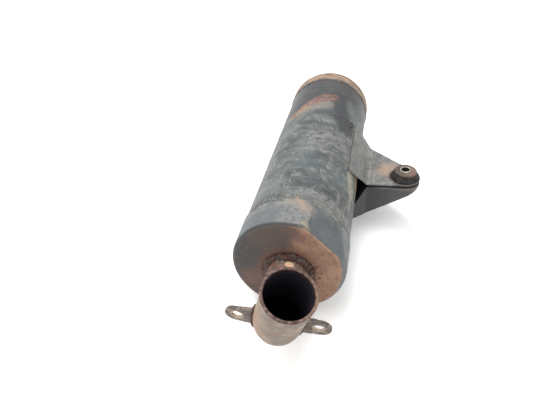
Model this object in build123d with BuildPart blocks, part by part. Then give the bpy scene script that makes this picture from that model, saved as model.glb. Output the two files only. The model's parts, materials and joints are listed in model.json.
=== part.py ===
from build123d import *
import math
import os

# Motorcycle exhaust muffler: a round can, a bent inlet pipe and a rubber-bushed side bracket.
# Frame: origin at the centre of the tail pipe's open end, +Y along the can's axis in the
# direction the gas leaves, +X towards the mounting bracket, +Z up. Millimetres.

# Can
shell_radius = 53.2
sheet = 1.2
can_length = 336.0
tail_reach = 24.0
front_y = -(tail_reach + can_length)
rear_y = -tail_reach

# End caps: pressed cups whose skirts slip over the shell
cap_radius = shell_radius + sheet
front_skirt = 38.0
rear_skirt = 24.0
cap_shoulder = 5.0
cap_overlap = 7.0
facet_angle = 49.0
facet_distance = 47.0
facet_length = 30.0
seam_weld_width = 1.2
bead_bulge = 0.6

# Inlet pipe: straight out of the front cap, then bent upwards to the mouth
pipe_radius = 20.0
pipe_wall = 1.8
inlet_x = 1.0
inlet_z = -3.8
inlet_inside = 25.0
inlet_run = 34.0
inlet_bend_radius = 43.0
inlet_bend_angle = 73.0
inlet_lean = 12.0
mouth_ring_height = 3.0
mouth_ring_radius = 20.8
mouth_ring_fillet = 0.8
inlet_rise = 44.1
inlet_weld_size = 2.6

# Fixing lugs on both sides of the bend
lug_bend_angle = 53.0
lug_lean = 10.0
lug_reach = 33.2
lug_end_radius = 10.3
lug_root_half_width = 13.0
lug_hole_radius = 4.3
lug_thickness = 2.6
lug_weld_size = 2.2

# Side bracket: two pressed plates that meet the can as a Y
bracket_rise = 4.0
plate = 2.0
plate_half_gap = 1.5
bend_reach = 64.2
bend_front_y = front_y + 139.8
bend_rear_y = front_y + 217.8
foot_front_y = front_y + 123.4
foot_rear_y = front_y + 226.0
bush_reach = 105.5
bush_y = front_y + 158.7
tip_radius = 17.0
bend_fillet = 3.0
channel_depth = 40.0
channel_corner_reach = 62.0
channel_tip_depth = 5.0
foot_weld_size = 3.0
foot_embed = 8.0
channel_embed = 18.0
groove_length = 16.0
groove_width = 3.6
groove_depth = 0.8
groove_from_bush_x = -32.65
groove_from_bush_y = 21.7
groove_turn = -48.0

# Bush in the bracket's tip
housing_radius = 13.5
housing_wall = 1.5
bush_neck_radius = housing_radius - housing_wall
bush_flange_radius = 16.2
bush_lower_flange_radius = 14.8
bush_end_radius = 12.0
bush_half_height = 12.5
bush_fillet = 1.5
collar_radius = 6.3
collar_bore_radius = 4.3
collar_half_length = 13.5
collar_clearance = 0.05

# Inside: three flanged plates, a perforated core, two transfer tubes and the outlet tube
baffle_radius = shell_radius - sheet
baffle_sheet = 1.5
baffle_flange = 9.0
front_baffle_y = front_y + 95.0
middle_baffle_y = front_y + 185.0
rear_baffle_y = front_y + 265.0
core_end_y = middle_baffle_y + 14.0
perforation_radius = 2.2
perforation_rows = 10
perforation_pitch = 12.0
perforation_spokes = 4
transfer_radius = 9.0
transfer_wall = 1.2
transfer_x = 28.0
transfer_z = 21.0
transfer_overhang = 14.0
tail_bore_radius = 12.5
tail_wall = 1.5
tail_inside = 4.0
outlet_radius = 11.0
outlet_wall = 1.2
outlet_inner_overhang = 16.0
outlet_gap = 6.0
tail_weld_size = 2.4
packing_front_y = front_y + 34.0
packing_length = 44.0

tail_radius = tail_bore_radius + tail_wall

os.makedirs("parts", exist_ok=True)


def station(y):
    """Plane across the can at the given y, with local x along X and local y along Z."""
    return Plane.XZ.offset(-y)


def cylinder_along_y(radius, start_y, end_y, x=0.0, z=0.0):
    """Solid round bar from start_y to end_y."""
    with BuildPart() as bar:
        with BuildSketch(station(start_y)):
            with Locations((x, z)):
                Circle(radius)
        extrude(amount=start_y - end_y)
    return bar.part


def tube_along_y(radius, wall, start_y, end_y, x=0.0, z=0.0):
    """Round tube from start_y to end_y."""
    with BuildPart() as tube:
        with BuildSketch(station(start_y)):
            with Locations((x, z)):
                Circle(radius)
                Circle(radius - wall, mode=Mode.SUBTRACT)
        extrude(amount=start_y - end_y)
    return tube.part


def ring_bead(inner_radius, width, base_y, side, x=0.0, z=0.0):
    """Fillet bead round a tube: it stands on the plane at base_y and rises along side * Y."""
    bead_plane = Plane(origin=(x, base_y, z), x_dir=(1, 0, 0), z_dir=(0, 0, side))
    with BuildPart() as bead:
        with BuildSketch(bead_plane):
            with BuildLine():
                Line((inner_radius, 0), (inner_radius + width, 0))
                ThreePointArc(
                    (inner_radius + width, 0),
                    (inner_radius + bead_bulge * width, bead_bulge * width),
                    (inner_radius, width),
                )
                Line((inner_radius, width), (inner_radius, 0))
            make_face()
        revolve(axis=Axis((x, base_y, z), (0, 1, 0)))
    return bead.part


# ---------------------------------------------------------------- can

can_envelope = cylinder_along_y(shell_radius, front_y + cap_overlap, rear_y)

shell_front_y = front_y + front_skirt - cap_overlap
with BuildPart() as body_shell:
    add(tube_along_y(shell_radius, sheet, shell_front_y, rear_y - cap_shoulder))
body_shell.part.label = "body_shell"

facet_out = Vector(math.cos(math.radians(facet_angle)), 0, math.sin(math.radians(facet_angle)))
facet_slope = (cap_radius - facet_distance) / facet_length
facet_plane = Plane(
    origin=facet_out * facet_distance + Vector(0, front_y, 0),
    z_dir=facet_out - Vector(0, facet_slope, 0),
)


def front_cap_form(inset):
    """Outer form of the front cap with every wall moved inwards by inset."""
    with BuildPart() as form:
        with BuildSketch(station(front_y + inset)):
            Circle(cap_radius - inset)
        extrude(amount=-(front_skirt - inset))
        front_rim = form.edges().filter_by(GeomType.CIRCLE).group_by(Axis.Y)[0]
        fillet(front_rim, cap_shoulder - inset)
        split(bisect_by=facet_plane.offset(-inset), keep=Keep.BOTTOM)
    return form.part


with BuildPart() as front_cap:
    add(front_cap_form(0.0))
    add(front_cap_form(sheet), mode=Mode.SUBTRACT)
    add(
        cylinder_along_y(pipe_radius, front_y - sheet, front_y + cap_shoulder, inlet_x, inlet_z),
        mode=Mode.SUBTRACT,
    )
front_cap.part.label = "front_cap"

with BuildPart() as rear_cap:
    with BuildSketch(station(rear_y - rear_skirt)):
        Circle(cap_radius)
    extrude(amount=-rear_skirt)
    rear_rim = rear_cap.edges().filter_by(GeomType.CIRCLE).group_by(Axis.Y)[-1]
    fillet(rear_rim, cap_shoulder)
    offset(amount=-sheet, openings=rear_cap.faces().sort_by(Axis.Y)[0])
    add(cylinder_along_y(tail_radius, rear_y - rear_skirt, rear_y), mode=Mode.SUBTRACT)
rear_cap.part.label = "rear_cap"



def seam_bead(base_y, side):
    """Flat fillet between the shell and a skirt's end at base_y, rising along side * Y."""
    with BuildPart() as bead:
        with BuildSketch(Plane(origin=(0, base_y, 0), x_dir=(1, 0, 0), z_dir=(0, 0, side))):
            Polygon(
                (shell_radius, 0),
                (shell_radius + seam_weld_width, 0),
                (shell_radius, seam_weld_width),
                align=None,
            )
        revolve(axis=Axis((0, base_y, 0), (0, 1, 0)))
    return bead.part


with BuildPart() as front_seam_weld:
    add(seam_bead(front_y + front_skirt, 1))
front_seam_weld.part.label = "front_seam_weld"

with BuildPart() as rear_seam_weld:
    add(seam_bead(rear_y - rear_skirt, -1))
rear_seam_weld.part.label = "rear_seam_weld"

# ---------------------------------------------------------------- inlet pipe

lean_up = Vector(math.sin(math.radians(inlet_lean)), 0, math.cos(math.radians(inlet_lean)))
inlet_start = Vector(inlet_x, front_y, inlet_z)
inlet_plane = Plane(
    origin=inlet_start,
    x_dir=(0, -1, 0),
    z_dir=Vector(0, -1, 0).cross(lean_up),
)

with BuildLine(inlet_plane) as inlet_path:
    stub_line = Line((-inlet_inside, 0), (inlet_run, 0))
    bend_line = JernArc(
        start=(inlet_run, 0),
        tangent=(1, 0),
        radius=inlet_bend_radius,
        arc_size=inlet_bend_angle,
    )
    riser_line = PolarLine(
        start=(
            inlet_run + inlet_bend_radius * math.sin(math.radians(inlet_bend_angle)),
            inlet_bend_radius * (1 - math.cos(math.radians(inlet_bend_angle))),
        ),
        length=inlet_rise,
        angle=inlet_bend_angle,
    )
inlet_wire = inlet_path.wires()[0]
mouth_direction = inlet_wire % 1
ring_base = Plane(origin=inlet_wire @ 1, z_dir=mouth_direction)
mouth_centre = inlet_wire @ 1 + mouth_direction * mouth_ring_height


def along_path(path, outer_radius, inner_radius):
    """Bar or tube that follows the inlet's path or one stretch of it."""
    with BuildPart() as swept:
        with BuildSketch(Plane(origin=path @ 0, z_dir=path % 0)):
            Circle(outer_radius)
            if inner_radius > 0:
                Circle(inner_radius, mode=Mode.SUBTRACT)
        sweep(path=path)
    return swept.part


pipe_solid = along_path(inlet_wire, pipe_radius, 0)
weld_zone = along_path(inlet_wire, pipe_radius + lug_weld_size, 0)
pipe_bore_radius = pipe_radius - pipe_wall

with BuildPart() as inlet_stub:
    add(along_path(Wire(stub_line), pipe_radius, pipe_bore_radius))
inlet_stub.part.label = "inlet_stub"

with BuildPart() as inlet_bend:
    add(along_path(Wire(bend_line), pipe_radius, pipe_bore_radius))
inlet_bend.part.label = "inlet_bend"

with BuildPart() as inlet_riser:
    add(along_path(Wire(riser_line), pipe_radius, pipe_bore_radius))
inlet_riser.part.label = "inlet_riser"

with BuildPart() as mouth_ring:
    with BuildSketch(ring_base):
        Circle(mouth_ring_radius)
        Circle(pipe_bore_radius, mode=Mode.SUBTRACT)
    extrude(amount=mouth_ring_height)
    outer_rims = mouth_ring.edges().filter_by(GeomType.CIRCLE).sort_by(SortBy.RADIUS)[-2:]
    fillet(outer_rims, mouth_ring_fillet)
mouth_ring.part.label = "mouth_ring"

with BuildPart() as inlet_weld:
    add(ring_bead(pipe_radius, inlet_weld_size, front_y, -1, inlet_x, inlet_z))
inlet_weld.part.label = "inlet_weld"

# ---------------------------------------------------------------- lugs

lug_turn = math.radians(lug_bend_angle)
lug_centre = inlet_plane.from_local_coords(
    (
        inlet_run + inlet_bend_radius * math.sin(lug_turn),
        inlet_bend_radius * (1 - math.cos(lug_turn)),
        0,
    )
)
lug_normal = Vector(0, -math.cos(math.radians(lug_lean)), -math.sin(math.radians(lug_lean)))
lug_plane = Plane(origin=lug_centre, x_dir=(1, 0, 0), z_dir=lug_normal)


def lug_sketch(side, grow):
    """Outline of one ear, side -1 or +1, grown outwards by grow."""
    with BuildSketch() as ear:
        with Locations((side * lug_reach, 0)):
            Circle(lug_end_radius + grow)
        Polygon(
            (side * pipe_radius / 2, lug_root_half_width + grow),
            (side * lug_reach, lug_end_radius + grow),
            (side * lug_reach, -lug_end_radius - grow),
            (side * pipe_radius / 2, -lug_root_half_width - grow),
            align=None,
        )
    return ear.sketch


def make_lug(side):
    """Flat ear with a hole, cut to the pipe's surface."""
    with BuildPart() as lug:
        with BuildSketch(lug_plane):
            add(lug_sketch(side, 0.0))
            with Locations((side * lug_reach, 0)):
                Circle(lug_hole_radius, mode=Mode.SUBTRACT)
        extrude(amount=lug_thickness / 2, both=True)
        add(pipe_solid, mode=Mode.SUBTRACT)
    return lug.part


def make_lug_weld(side, lug_part):
    """Bead round an ear's root, on the pipe's surface."""
    with BuildPart() as weld:
        with BuildSketch(lug_plane):
            add(lug_sketch(side, lug_weld_size))
        extrude(amount=lug_thickness / 2 + lug_weld_size, both=True)
        add(weld_zone, mode=Mode.INTERSECT)
        add(pipe_solid, mode=Mode.SUBTRACT)
        add(lug_part, mode=Mode.SUBTRACT)
    return weld.part


with BuildPart() as left_lug:
    add(make_lug(-1))
left_lug.part.label = "left_lug"

with BuildPart() as right_lug:
    add(make_lug(1))
right_lug.part.label = "right_lug"

with BuildPart() as left_lug_weld:
    add(make_lug_weld(-1, left_lug.part))
left_lug_weld.part.label = "left_lug_weld"

with BuildPart() as right_lug_weld:
    add(make_lug_weld(1, right_lug.part))
right_lug_weld.part.label = "right_lug_weld"

# ---------------------------------------------------------------- bracket

rise = math.radians(bracket_rise)
bracket_out = Vector(math.cos(rise), 0, math.sin(rise))
bracket_up = Vector(-math.sin(rise), 0, math.cos(rise))
bracket_plan = Plane(origin=(0, 0, 0), x_dir=bracket_out, z_dir=bracket_up)
bracket_side = Plane(origin=(0, foot_front_y - plate, 0), x_dir=bracket_out, z_dir=(0, -1, 0))
tip_reach = bush_reach + tip_radius
side_run = foot_rear_y - foot_front_y + 2 * plate

# The legs leave the flat part at the bend and touch the shell on a tangent.
bend_distance = math.hypot(bend_reach, plate_half_gap)
touch_angle = math.atan2(plate_half_gap, bend_reach) + math.acos(shell_radius / bend_distance)
touch = Vector(math.cos(touch_angle), math.sin(touch_angle)) * shell_radius
foot_plan_reach = touch.X - foot_embed
front_flare = (bend_front_y - foot_front_y) / (bend_reach - touch.X)
rear_flare = (foot_rear_y - bend_rear_y) / (bend_reach - touch.X)
foot_plan_front_y = bend_front_y - front_flare * (bend_reach - foot_plan_reach)
foot_plan_rear_y = bend_rear_y + rear_flare * (bend_reach - foot_plan_reach)


def bracket_outline():
    """Plan outline of both plates: a flared foot and a tip that is round about the bush."""
    with BuildSketch() as outline:
        with BuildLine():
            Line((bend_reach, bend_front_y), (bend_reach, bend_rear_y))
            CenterArc((bush_reach, bush_y), tip_radius, 0, 360)
        make_hull()
        Polygon(
            (foot_plan_reach, foot_plan_front_y),
            (bend_reach, bend_front_y),
            (bend_reach, bend_rear_y),
            (foot_plan_reach, foot_plan_rear_y),
            align=None,
        )
    return outline.sketch


def plan_block(grow):
    """Tall block over the plan outline, used to trim the plates' ends."""
    with BuildPart() as block:
        with BuildSketch(bracket_plan):
            add(bracket_outline())
            if grow != 0:
                offset(amount=grow, kind=Kind.INTERSECTION)
        extrude(amount=2 * shell_radius, both=True)
    return block.part


def bent_plate(side):
    """Flat part and leg, side +1 for the upper plate and -1 for the lower one."""
    with BuildPart() as strip:
        with BuildSketch(bracket_side):
            with BuildLine():
                FilletPolyline(
                    (tip_reach + plate, side * plate_half_gap),
                    (bend_reach, side * plate_half_gap),
                    (touch.X, side * touch.Y),
                    radius=bend_fillet,
                )
                offset(amount=plate, side=Side.RIGHT if side > 0 else Side.LEFT)
            make_face()
        extrude(amount=-side_run)
    return strip.part


bush_axis = Plane(
    origin=bracket_plan.from_local_coords((bush_reach, bush_y, 0)),
    x_dir=(0, 1, 0),
    z_dir=bracket_up,
)
groove_centre = (bush_reach + groove_from_bush_x, bush_y + groove_from_bush_y)

with BuildPart() as bracket_upper:
    add(bent_plate(1))
    add(plan_block(0.0), mode=Mode.INTERSECT)
    with BuildSketch(bush_axis):
        Circle(housing_radius)
    extrude(amount=2 * plate_half_gap + 2 * plate, mode=Mode.SUBTRACT)
    with BuildSketch(bracket_plan.offset(plate_half_gap + plate)):
        with Locations(groove_centre):
            SlotOverall(groove_length, groove_width, rotation=groove_turn)
    extrude(amount=-groove_depth, mode=Mode.SUBTRACT)
bracket_upper.part.label = "bracket_upper"


def channel_profile(top_drop, floor_depth):
    """Side profile of the lower pressing, from its top line down to its sloping lower edge."""
    top = -(plate_half_gap + top_drop)
    leg_out = Vector(math.cos(touch_angle), -math.sin(touch_angle))
    leg_top = Vector(touch.X, -touch.Y) + leg_out * top_drop
    bend_shift = top_drop * leg_out.X / (1 - leg_out.Y)
    with BuildSketch() as profile:
        Polygon(
            (tip_reach + plate, top),
            (bend_reach + bend_shift, top),
            (leg_top.X, leg_top.Y),
            (leg_top.X - channel_embed, leg_top.Y),
            (leg_top.X - channel_embed, -floor_depth),
            (channel_corner_reach, -floor_depth),
            (tip_reach, -floor_depth + channel_depth - channel_tip_depth),
            (tip_reach + plate, top),
            align=None,
        )
    return profile.sketch


def channel_form(grow):
    """Solid form of the lower pressing with its plan outline grown by grow."""
    with BuildPart() as form:
        with BuildSketch(bracket_side):
            add(channel_profile(0.0, channel_depth))
        extrude(amount=-side_run)
        add(plan_block(grow), mode=Mode.INTERSECT)
        add(can_envelope, mode=Mode.SUBTRACT)
    return form.part


with BuildPart() as channel_hollow:
    with BuildSketch(bracket_side):
        add(channel_profile(plate, 2 * channel_depth))
    extrude(amount=-side_run)
    add(plan_block(-plate), mode=Mode.INTERSECT)

with BuildPart() as bracket_lower:
    add(channel_form(0.0))
    add(channel_hollow.part, mode=Mode.SUBTRACT)
    with BuildSketch(bush_axis):
        Circle(housing_radius)
    extrude(amount=-(plate_half_gap + 2 * plate), mode=Mode.SUBTRACT)
bracket_lower.part.label = "bracket_lower"

touch_degrees = math.degrees(touch_angle)
weld_span = math.degrees(foot_weld_size / shell_radius)
with BuildPart() as bracket_upper_weld:
    with BuildSketch(bracket_side):
        weld_toe = Vector(shell_radius, 0).rotate(Axis.Z, touch_degrees + weld_span)
        weld_top = Vector(shell_radius + plate, 0).rotate(Axis.Z, touch_degrees)
        weld_base = Vector(shell_radius - plate, 0).rotate(Axis.Z, touch_degrees)
        Polygon(
            (touch.X, touch.Y),
            (weld_top.X, weld_top.Y),
            (weld_toe.X, weld_toe.Y),
            (weld_base.X, weld_base.Y),
            align=None,
        )
    extrude(amount=-side_run)
    add(plan_block(0.0), mode=Mode.INTERSECT)
    add(can_envelope, mode=Mode.SUBTRACT)
    add(bracket_upper.part, mode=Mode.SUBTRACT)
bracket_upper_weld.part.label = "bracket_upper_weld"

with BuildPart() as channel_weld_pair:
    add(channel_form(plate))
    weld_start_y = foot_front_y - 2 * foot_weld_size
    weld_end_y = foot_rear_y + 2 * foot_weld_size
    add(tube_along_y(shell_radius + plate, plate, weld_start_y, weld_end_y), mode=Mode.INTERSECT)
    add(plan_block(0.0), mode=Mode.SUBTRACT)
channel_welds = channel_weld_pair.solids().sort_by(Axis.Y)

with BuildPart() as channel_front_weld:
    add(channel_welds[0])
channel_front_weld.part.label = "channel_front_weld"

with BuildPart() as channel_rear_weld:
    add(channel_welds[-1])
channel_rear_weld.part.label = "channel_rear_weld"

# ---------------------------------------------------------------- bush

plates_top = plate_half_gap + plate
with BuildPart() as bush_housing:
    with BuildSketch(bush_axis.offset(-plates_top)):
        Circle(housing_radius)
        Circle(bush_neck_radius, mode=Mode.SUBTRACT)
    extrude(amount=2 * plates_top)
bush_housing.part.label = "bush_housing"

bush_section = Plane(origin=bush_axis.origin, x_dir=(0, 1, 0), z_dir=bracket_out)
bush_bore_radius = collar_radius + collar_clearance
with BuildPart() as rubber_bush:
    with BuildSketch(bush_section):
        Polygon(
            (bush_bore_radius, -bush_half_height),
            (bush_end_radius, -bush_half_height),
            (bush_lower_flange_radius, -plates_top),
            (bush_neck_radius, -plates_top),
            (bush_neck_radius, plates_top),
            (bush_flange_radius, plates_top),
            (bush_end_radius, bush_half_height),
            (bush_bore_radius, bush_half_height),
            align=None,
        )
    revolve(axis=Axis(bush_axis.origin, bracket_up))
    circles = rubber_bush.edges().filter_by(GeomType.CIRCLE)
    bush_ends = circles.sort_by(Axis(bush_axis.origin, bracket_up))
    end_edges = bush_ends.filter_by(lambda edge: abs(edge.radius - bush_end_radius) < 0.01)
    fillet([end_edges[0], end_edges[-1]], bush_fillet)
rubber_bush.part.label = "rubber_bush"

with BuildPart() as bush_collar:
    with BuildSketch(bush_axis.offset(-collar_half_length)):
        Circle(collar_radius)
        Circle(collar_bore_radius, mode=Mode.SUBTRACT)
    extrude(amount=2 * collar_half_length)
bush_collar.part.label = "bush_collar"

# ---------------------------------------------------------------- inside of the can


def make_baffle(y, holes):
    """Flanged plate across the can; holes is a list of (x, z, radius)."""
    with BuildPart() as baffle:
        with BuildSketch(station(y)):
            Circle(baffle_radius)
        extrude(amount=-baffle_flange)
        with BuildSketch(station(y + baffle_sheet)):
            Circle(baffle_radius - baffle_sheet)
        extrude(amount=-baffle_flange, mode=Mode.SUBTRACT)
        with BuildSketch(station(y)):
            for x, z, radius in holes:
                with Locations((x, z)):
                    Circle(radius)
        extrude(amount=-baffle_sheet, mode=Mode.SUBTRACT)
    return baffle.part


core_hole = (inlet_x, inlet_z, pipe_radius)
front_transfer_hole = (transfer_x, -transfer_z, transfer_radius)
rear_transfer_hole = (-transfer_x, transfer_z, transfer_radius)

with BuildPart() as front_baffle:
    add(make_baffle(front_baffle_y, [core_hole, front_transfer_hole]))
front_baffle.part.label = "front_baffle"

with BuildPart() as middle_baffle:
    add(make_baffle(middle_baffle_y, [core_hole, front_transfer_hole, rear_transfer_hole]))
middle_baffle.part.label = "middle_baffle"

with BuildPart() as rear_baffle:
    add(make_baffle(rear_baffle_y, [rear_transfer_hole, (0, 0, outlet_radius)]))
rear_baffle.part.label = "rear_baffle"

with BuildPart() as core_tube:
    core_start_y = front_y + inlet_inside
    add(tube_along_y(pipe_radius, pipe_wall, core_start_y, core_end_y, inlet_x, inlet_z))
    spoke_step = 180.0 / perforation_spokes
    for row in range(perforation_rows):
        row_y = core_start_y + perforation_pitch * (row + 1)
        turn = spoke_step / 2 * (row % 2)
        for spoke in range(perforation_spokes):
            spoke_angle = math.radians(turn + spoke_step * spoke)
            spoke_plane = Plane(
                origin=(inlet_x, row_y, inlet_z),
                x_dir=(0, 1, 0),
                z_dir=(math.cos(spoke_angle), 0, math.sin(spoke_angle)),
            )
            with BuildSketch(spoke_plane):
                Circle(perforation_radius)
            extrude(amount=2 * pipe_radius, both=True, mode=Mode.SUBTRACT)
core_tube.part.label = "core_tube"

with BuildPart() as front_transfer_tube:
    add(
        tube_along_y(
            transfer_radius,
            transfer_wall,
            front_baffle_y - transfer_overhang,
            middle_baffle_y + transfer_overhang,
            transfer_x,
            -transfer_z,
        )
    )
front_transfer_tube.part.label = "front_transfer_tube"

with BuildPart() as rear_transfer_tube:
    add(
        tube_along_y(
            transfer_radius,
            transfer_wall,
            middle_baffle_y - transfer_overhang,
            rear_baffle_y + transfer_overhang,
            -transfer_x,
            transfer_z,
        )
    )
rear_transfer_tube.part.label = "rear_transfer_tube"

with BuildPart() as outlet_tube:
    outlet_start_y = rear_baffle_y - outlet_inner_overhang
    add(tube_along_y(outlet_radius, outlet_wall, outlet_start_y, rear_y - outlet_gap))
outlet_tube.part.label = "outlet_tube"

with BuildPart() as core_packing:
    with BuildSketch(station(packing_front_y)):
        Circle(baffle_radius)
        with Locations((inlet_x, inlet_z)):
            Circle(pipe_radius, mode=Mode.SUBTRACT)
    extrude(amount=-packing_length)
core_packing.part.label = "core_packing"

# ---------------------------------------------------------------- tail

with BuildPart() as tail_pipe:
    add(tube_along_y(tail_radius, tail_wall, rear_y - tail_inside, 0.0))
tail_pipe.part.label = "tail_pipe"

with BuildPart() as tail_weld:
    add(ring_bead(tail_radius, tail_weld_size, rear_y, 1))
tail_weld.part.label = "tail_weld"

for piece in (
    body_shell,
    front_cap,
    rear_cap,
    front_seam_weld,
    rear_seam_weld,
    inlet_stub,
    inlet_bend,
    inlet_riser,
    mouth_ring,
    inlet_weld,
    left_lug,
    right_lug,
    left_lug_weld,
    right_lug_weld,
    bracket_upper,
    bracket_lower,
    bracket_upper_weld,
    channel_front_weld,
    channel_rear_weld,
    bush_housing,
    rubber_bush,
    bush_collar,
    front_baffle,
    middle_baffle,
    rear_baffle,
    core_tube,
    front_transfer_tube,
    rear_transfer_tube,
    outlet_tube,
    core_packing,
    tail_pipe,
    tail_weld,
):
    export_step(piece.part, f"parts/{piece.part.label}.step")

print("mouth centre", mouth_centre, "direction", mouth_direction)
for side in (-1, 1):
    print("lug hole", lug_plane.from_local_coords((side * lug_reach, 0, 0)))
print("lug normal", lug_normal)
print("bush centre", bush_axis.origin, "axis", bracket_up)
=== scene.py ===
import json
import math

import bmesh
import bpy
import numpy as np
from mathutils import Matrix, Vector


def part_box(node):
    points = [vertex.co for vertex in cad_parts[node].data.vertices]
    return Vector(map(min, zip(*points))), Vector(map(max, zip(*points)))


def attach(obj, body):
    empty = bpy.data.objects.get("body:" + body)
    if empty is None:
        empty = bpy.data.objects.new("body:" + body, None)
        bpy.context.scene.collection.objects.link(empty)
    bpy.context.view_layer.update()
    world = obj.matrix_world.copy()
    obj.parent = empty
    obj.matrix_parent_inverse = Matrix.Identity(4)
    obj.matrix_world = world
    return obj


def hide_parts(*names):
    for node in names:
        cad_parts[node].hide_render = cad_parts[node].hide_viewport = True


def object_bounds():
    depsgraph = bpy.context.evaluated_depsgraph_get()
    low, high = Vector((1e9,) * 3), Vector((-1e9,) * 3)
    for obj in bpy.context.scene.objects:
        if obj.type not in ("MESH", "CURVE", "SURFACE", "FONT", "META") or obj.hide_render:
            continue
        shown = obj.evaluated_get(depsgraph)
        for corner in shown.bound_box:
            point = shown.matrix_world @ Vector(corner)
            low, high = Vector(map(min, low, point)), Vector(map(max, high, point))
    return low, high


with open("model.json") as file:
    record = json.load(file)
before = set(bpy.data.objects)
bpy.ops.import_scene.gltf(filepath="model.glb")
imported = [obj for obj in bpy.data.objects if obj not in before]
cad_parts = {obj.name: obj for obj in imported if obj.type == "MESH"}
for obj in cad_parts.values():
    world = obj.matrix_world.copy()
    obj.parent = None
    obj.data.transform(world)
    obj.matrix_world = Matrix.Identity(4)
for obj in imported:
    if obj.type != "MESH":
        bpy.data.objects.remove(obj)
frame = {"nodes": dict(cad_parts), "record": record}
cad_low, cad_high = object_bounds()
scene = bpy.context.scene
MM = 0.001


# ---- measures read from the frame

mounts = {m["name"]: m for m in frame["record"]["mounts"]}
cap_low, cap_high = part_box("front_cap")
shell_low, shell_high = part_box("body_shell")
rear_low, rear_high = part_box("rear_cap")
FRONT = cap_low.y
SKIRT_END = cap_high.y
CAP_R = cap_high.z
SHELL_R = shell_high.z
REAR = rear_high.y
REAR_SKIRT = rear_low.y
SHEET = CAP_R - SHELL_R
SHOULDER = 5 * MM
FACET_TURN = math.radians(49.0)
FACET_DEPTH = 47 * MM
FACET_LENGTH = 30 * MM
FACET_SLOPE = (CAP_R - FACET_DEPTH) / FACET_LENGTH
FACET_EDGE = 0.9 * MM
SKIN_GAP = 0.12 * MM
FLOOR_Z = cad_low.z
bush = Vector(mounts["bush_bore"]["pos_m"])
bush_axis = Vector(mounts["bush_bore"]["axis"])
HOLLOW = (74 * MM, bush.y + 16 * MM, bush.z)


# ---- noise on points


def lattice_noise(points, size, seed):
    """Smooth noise from -0.5 to 0.5 at points, in metres, with cells of that size."""
    grid = np.random.default_rng(seed).random((24, 24, 24))
    q = points / size + 1000.0
    base = np.floor(q).astype(int)
    f = q - base
    f = f * f * (3 - 2 * f)
    total = np.zeros(len(points))
    for dx in (0, 1):
        for dy in (0, 1):
            for dz in (0, 1):
                w = (f[:, 0] if dx else 1 - f[:, 0])
                w = w * (f[:, 1] if dy else 1 - f[:, 1])
                w = w * (f[:, 2] if dz else 1 - f[:, 2])
                i = (base + (dx, dy, dz)) % 24
                total += w * grid[i[:, 0], i[:, 1], i[:, 2]]
    return total - 0.5


def rough(points, size, seed, octaves=3):
    """Sum of finer and finer noise."""
    total = np.zeros(len(points))
    for k in range(octaves):
        total += lattice_noise(points, size / 2**k, seed + k) / 2**k
    return total


# ---- mesh makers


def new_object(name, verts, faces, body="muffler"):
    mesh = bpy.data.meshes.new(name)
    mesh.from_pydata([tuple(v) for v in verts], [], faces)
    mesh.validate()
    mesh.shade_smooth()
    obj = bpy.data.objects.new(name, mesh)
    scene.collection.objects.link(obj)
    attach(obj, body)
    return obj


def grid_object(name, rows, body="muffler"):
    """Closed skin from rows of points, shape (rows, columns, 3); rows and columns both wrap."""
    rows = np.asarray(rows)
    n, m = rows.shape[:2]
    faces = []
    for i in range(n):
        a, b = i * m, ((i + 1) % n) * m
        for j in range(m):
            k = (j + 1) % m
            faces.append((a + j, a + k, b + k, b + j))
    obj = new_object(name, rows.reshape(-1, 3), faces, body)
    outward(obj)
    return obj


def outward(obj):
    bm = bmesh.new()
    bm.from_mesh(obj.data)
    bmesh.ops.recalc_face_normals(bm, faces=bm.faces)
    bm.to_mesh(obj.data)
    bm.free()


def smooth_min(a, b, k):
    h = np.clip(0.5 + 0.5 * (b - a) / k, 0, 1)
    return b * (1 - h) + a * h - k * h * (1 - h)


def facet_reach(turn, y, inset=0.0):
    """Distance from the can's axis to the facet, or a long way where the facet isn't."""
    c = np.cos(turn - FACET_TURN)
    reach = (FACET_DEPTH + FACET_SLOPE * (y - FRONT) - inset) / np.maximum(c, 0.05)
    return np.where(c > 0.05, reach, 1.0)


def round_axis(radius, y, turn):
    """Points at angles round the can's axis, from +X towards +Z."""
    y = np.broadcast_to(y, turn.shape)
    return np.stack([radius * np.cos(turn), y, radius * np.sin(turn)], 1)


def can_point_rows(profile, turn, facet_inset=None):
    """Rows of points round the can's axis, from a list of (radius, y); the facet clips them if asked."""
    rows = []
    for radius, y in profile:
        if facet_inset is not None:
            radius = smooth_min(radius, facet_reach(turn, y, facet_inset), FACET_EDGE)
        rows.append(round_axis(radius, y, turn))
    return np.array(rows)


def shoulder_rows(turn, inset, n):
    """Rows round the front cap's shoulder, which is wider on the bracket's side, clipped by the facet."""
    off = (turn - math.radians(10.0) + math.pi) % (2 * math.pi) - math.pi
    size = SHOULDER + 4.5 * MM * np.exp(-((off / math.radians(42.0)) ** 2))
    rows = []
    for k in range(n + 1):
        a = math.radians(-90 + 90 * k / n)
        radius = CAP_R - size + (size - inset) * math.cos(a)
        y = FRONT + size + (size - inset) * math.sin(a)
        reach = facet_reach(turn, y) - (size - SHOULDER) * (1 - math.cos(a)) * 0.3
        rows.append(round_axis(smooth_min(radius, reach, FACET_EDGE), y, turn))
    return np.array(rows)


def arc(cx, cy, radius, start, end, n):
    """Points of an arc in the (radius, y) plane."""
    out = []
    for k in range(n + 1):
        a = math.radians(start + (end - start) * k / n)
        out.append((cx + radius * math.cos(a), cy + radius * math.sin(a)))
    return out


def line(p, q, n):
    return [(p[0] + (q[0] - p[0]) * k / n, p[1] + (q[1] - p[1]) * k / n) for k in range(1, n + 1)]


def push_in(flat, push):
    """Moves points, shape (points, 3), towards the can's axis by the distances in push."""
    r = np.hypot(flat[:, 0], flat[:, 2])
    scale = (r - push) / np.maximum(r, 1e-6)
    flat[:, 0] *= scale
    flat[:, 2] *= scale


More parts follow.
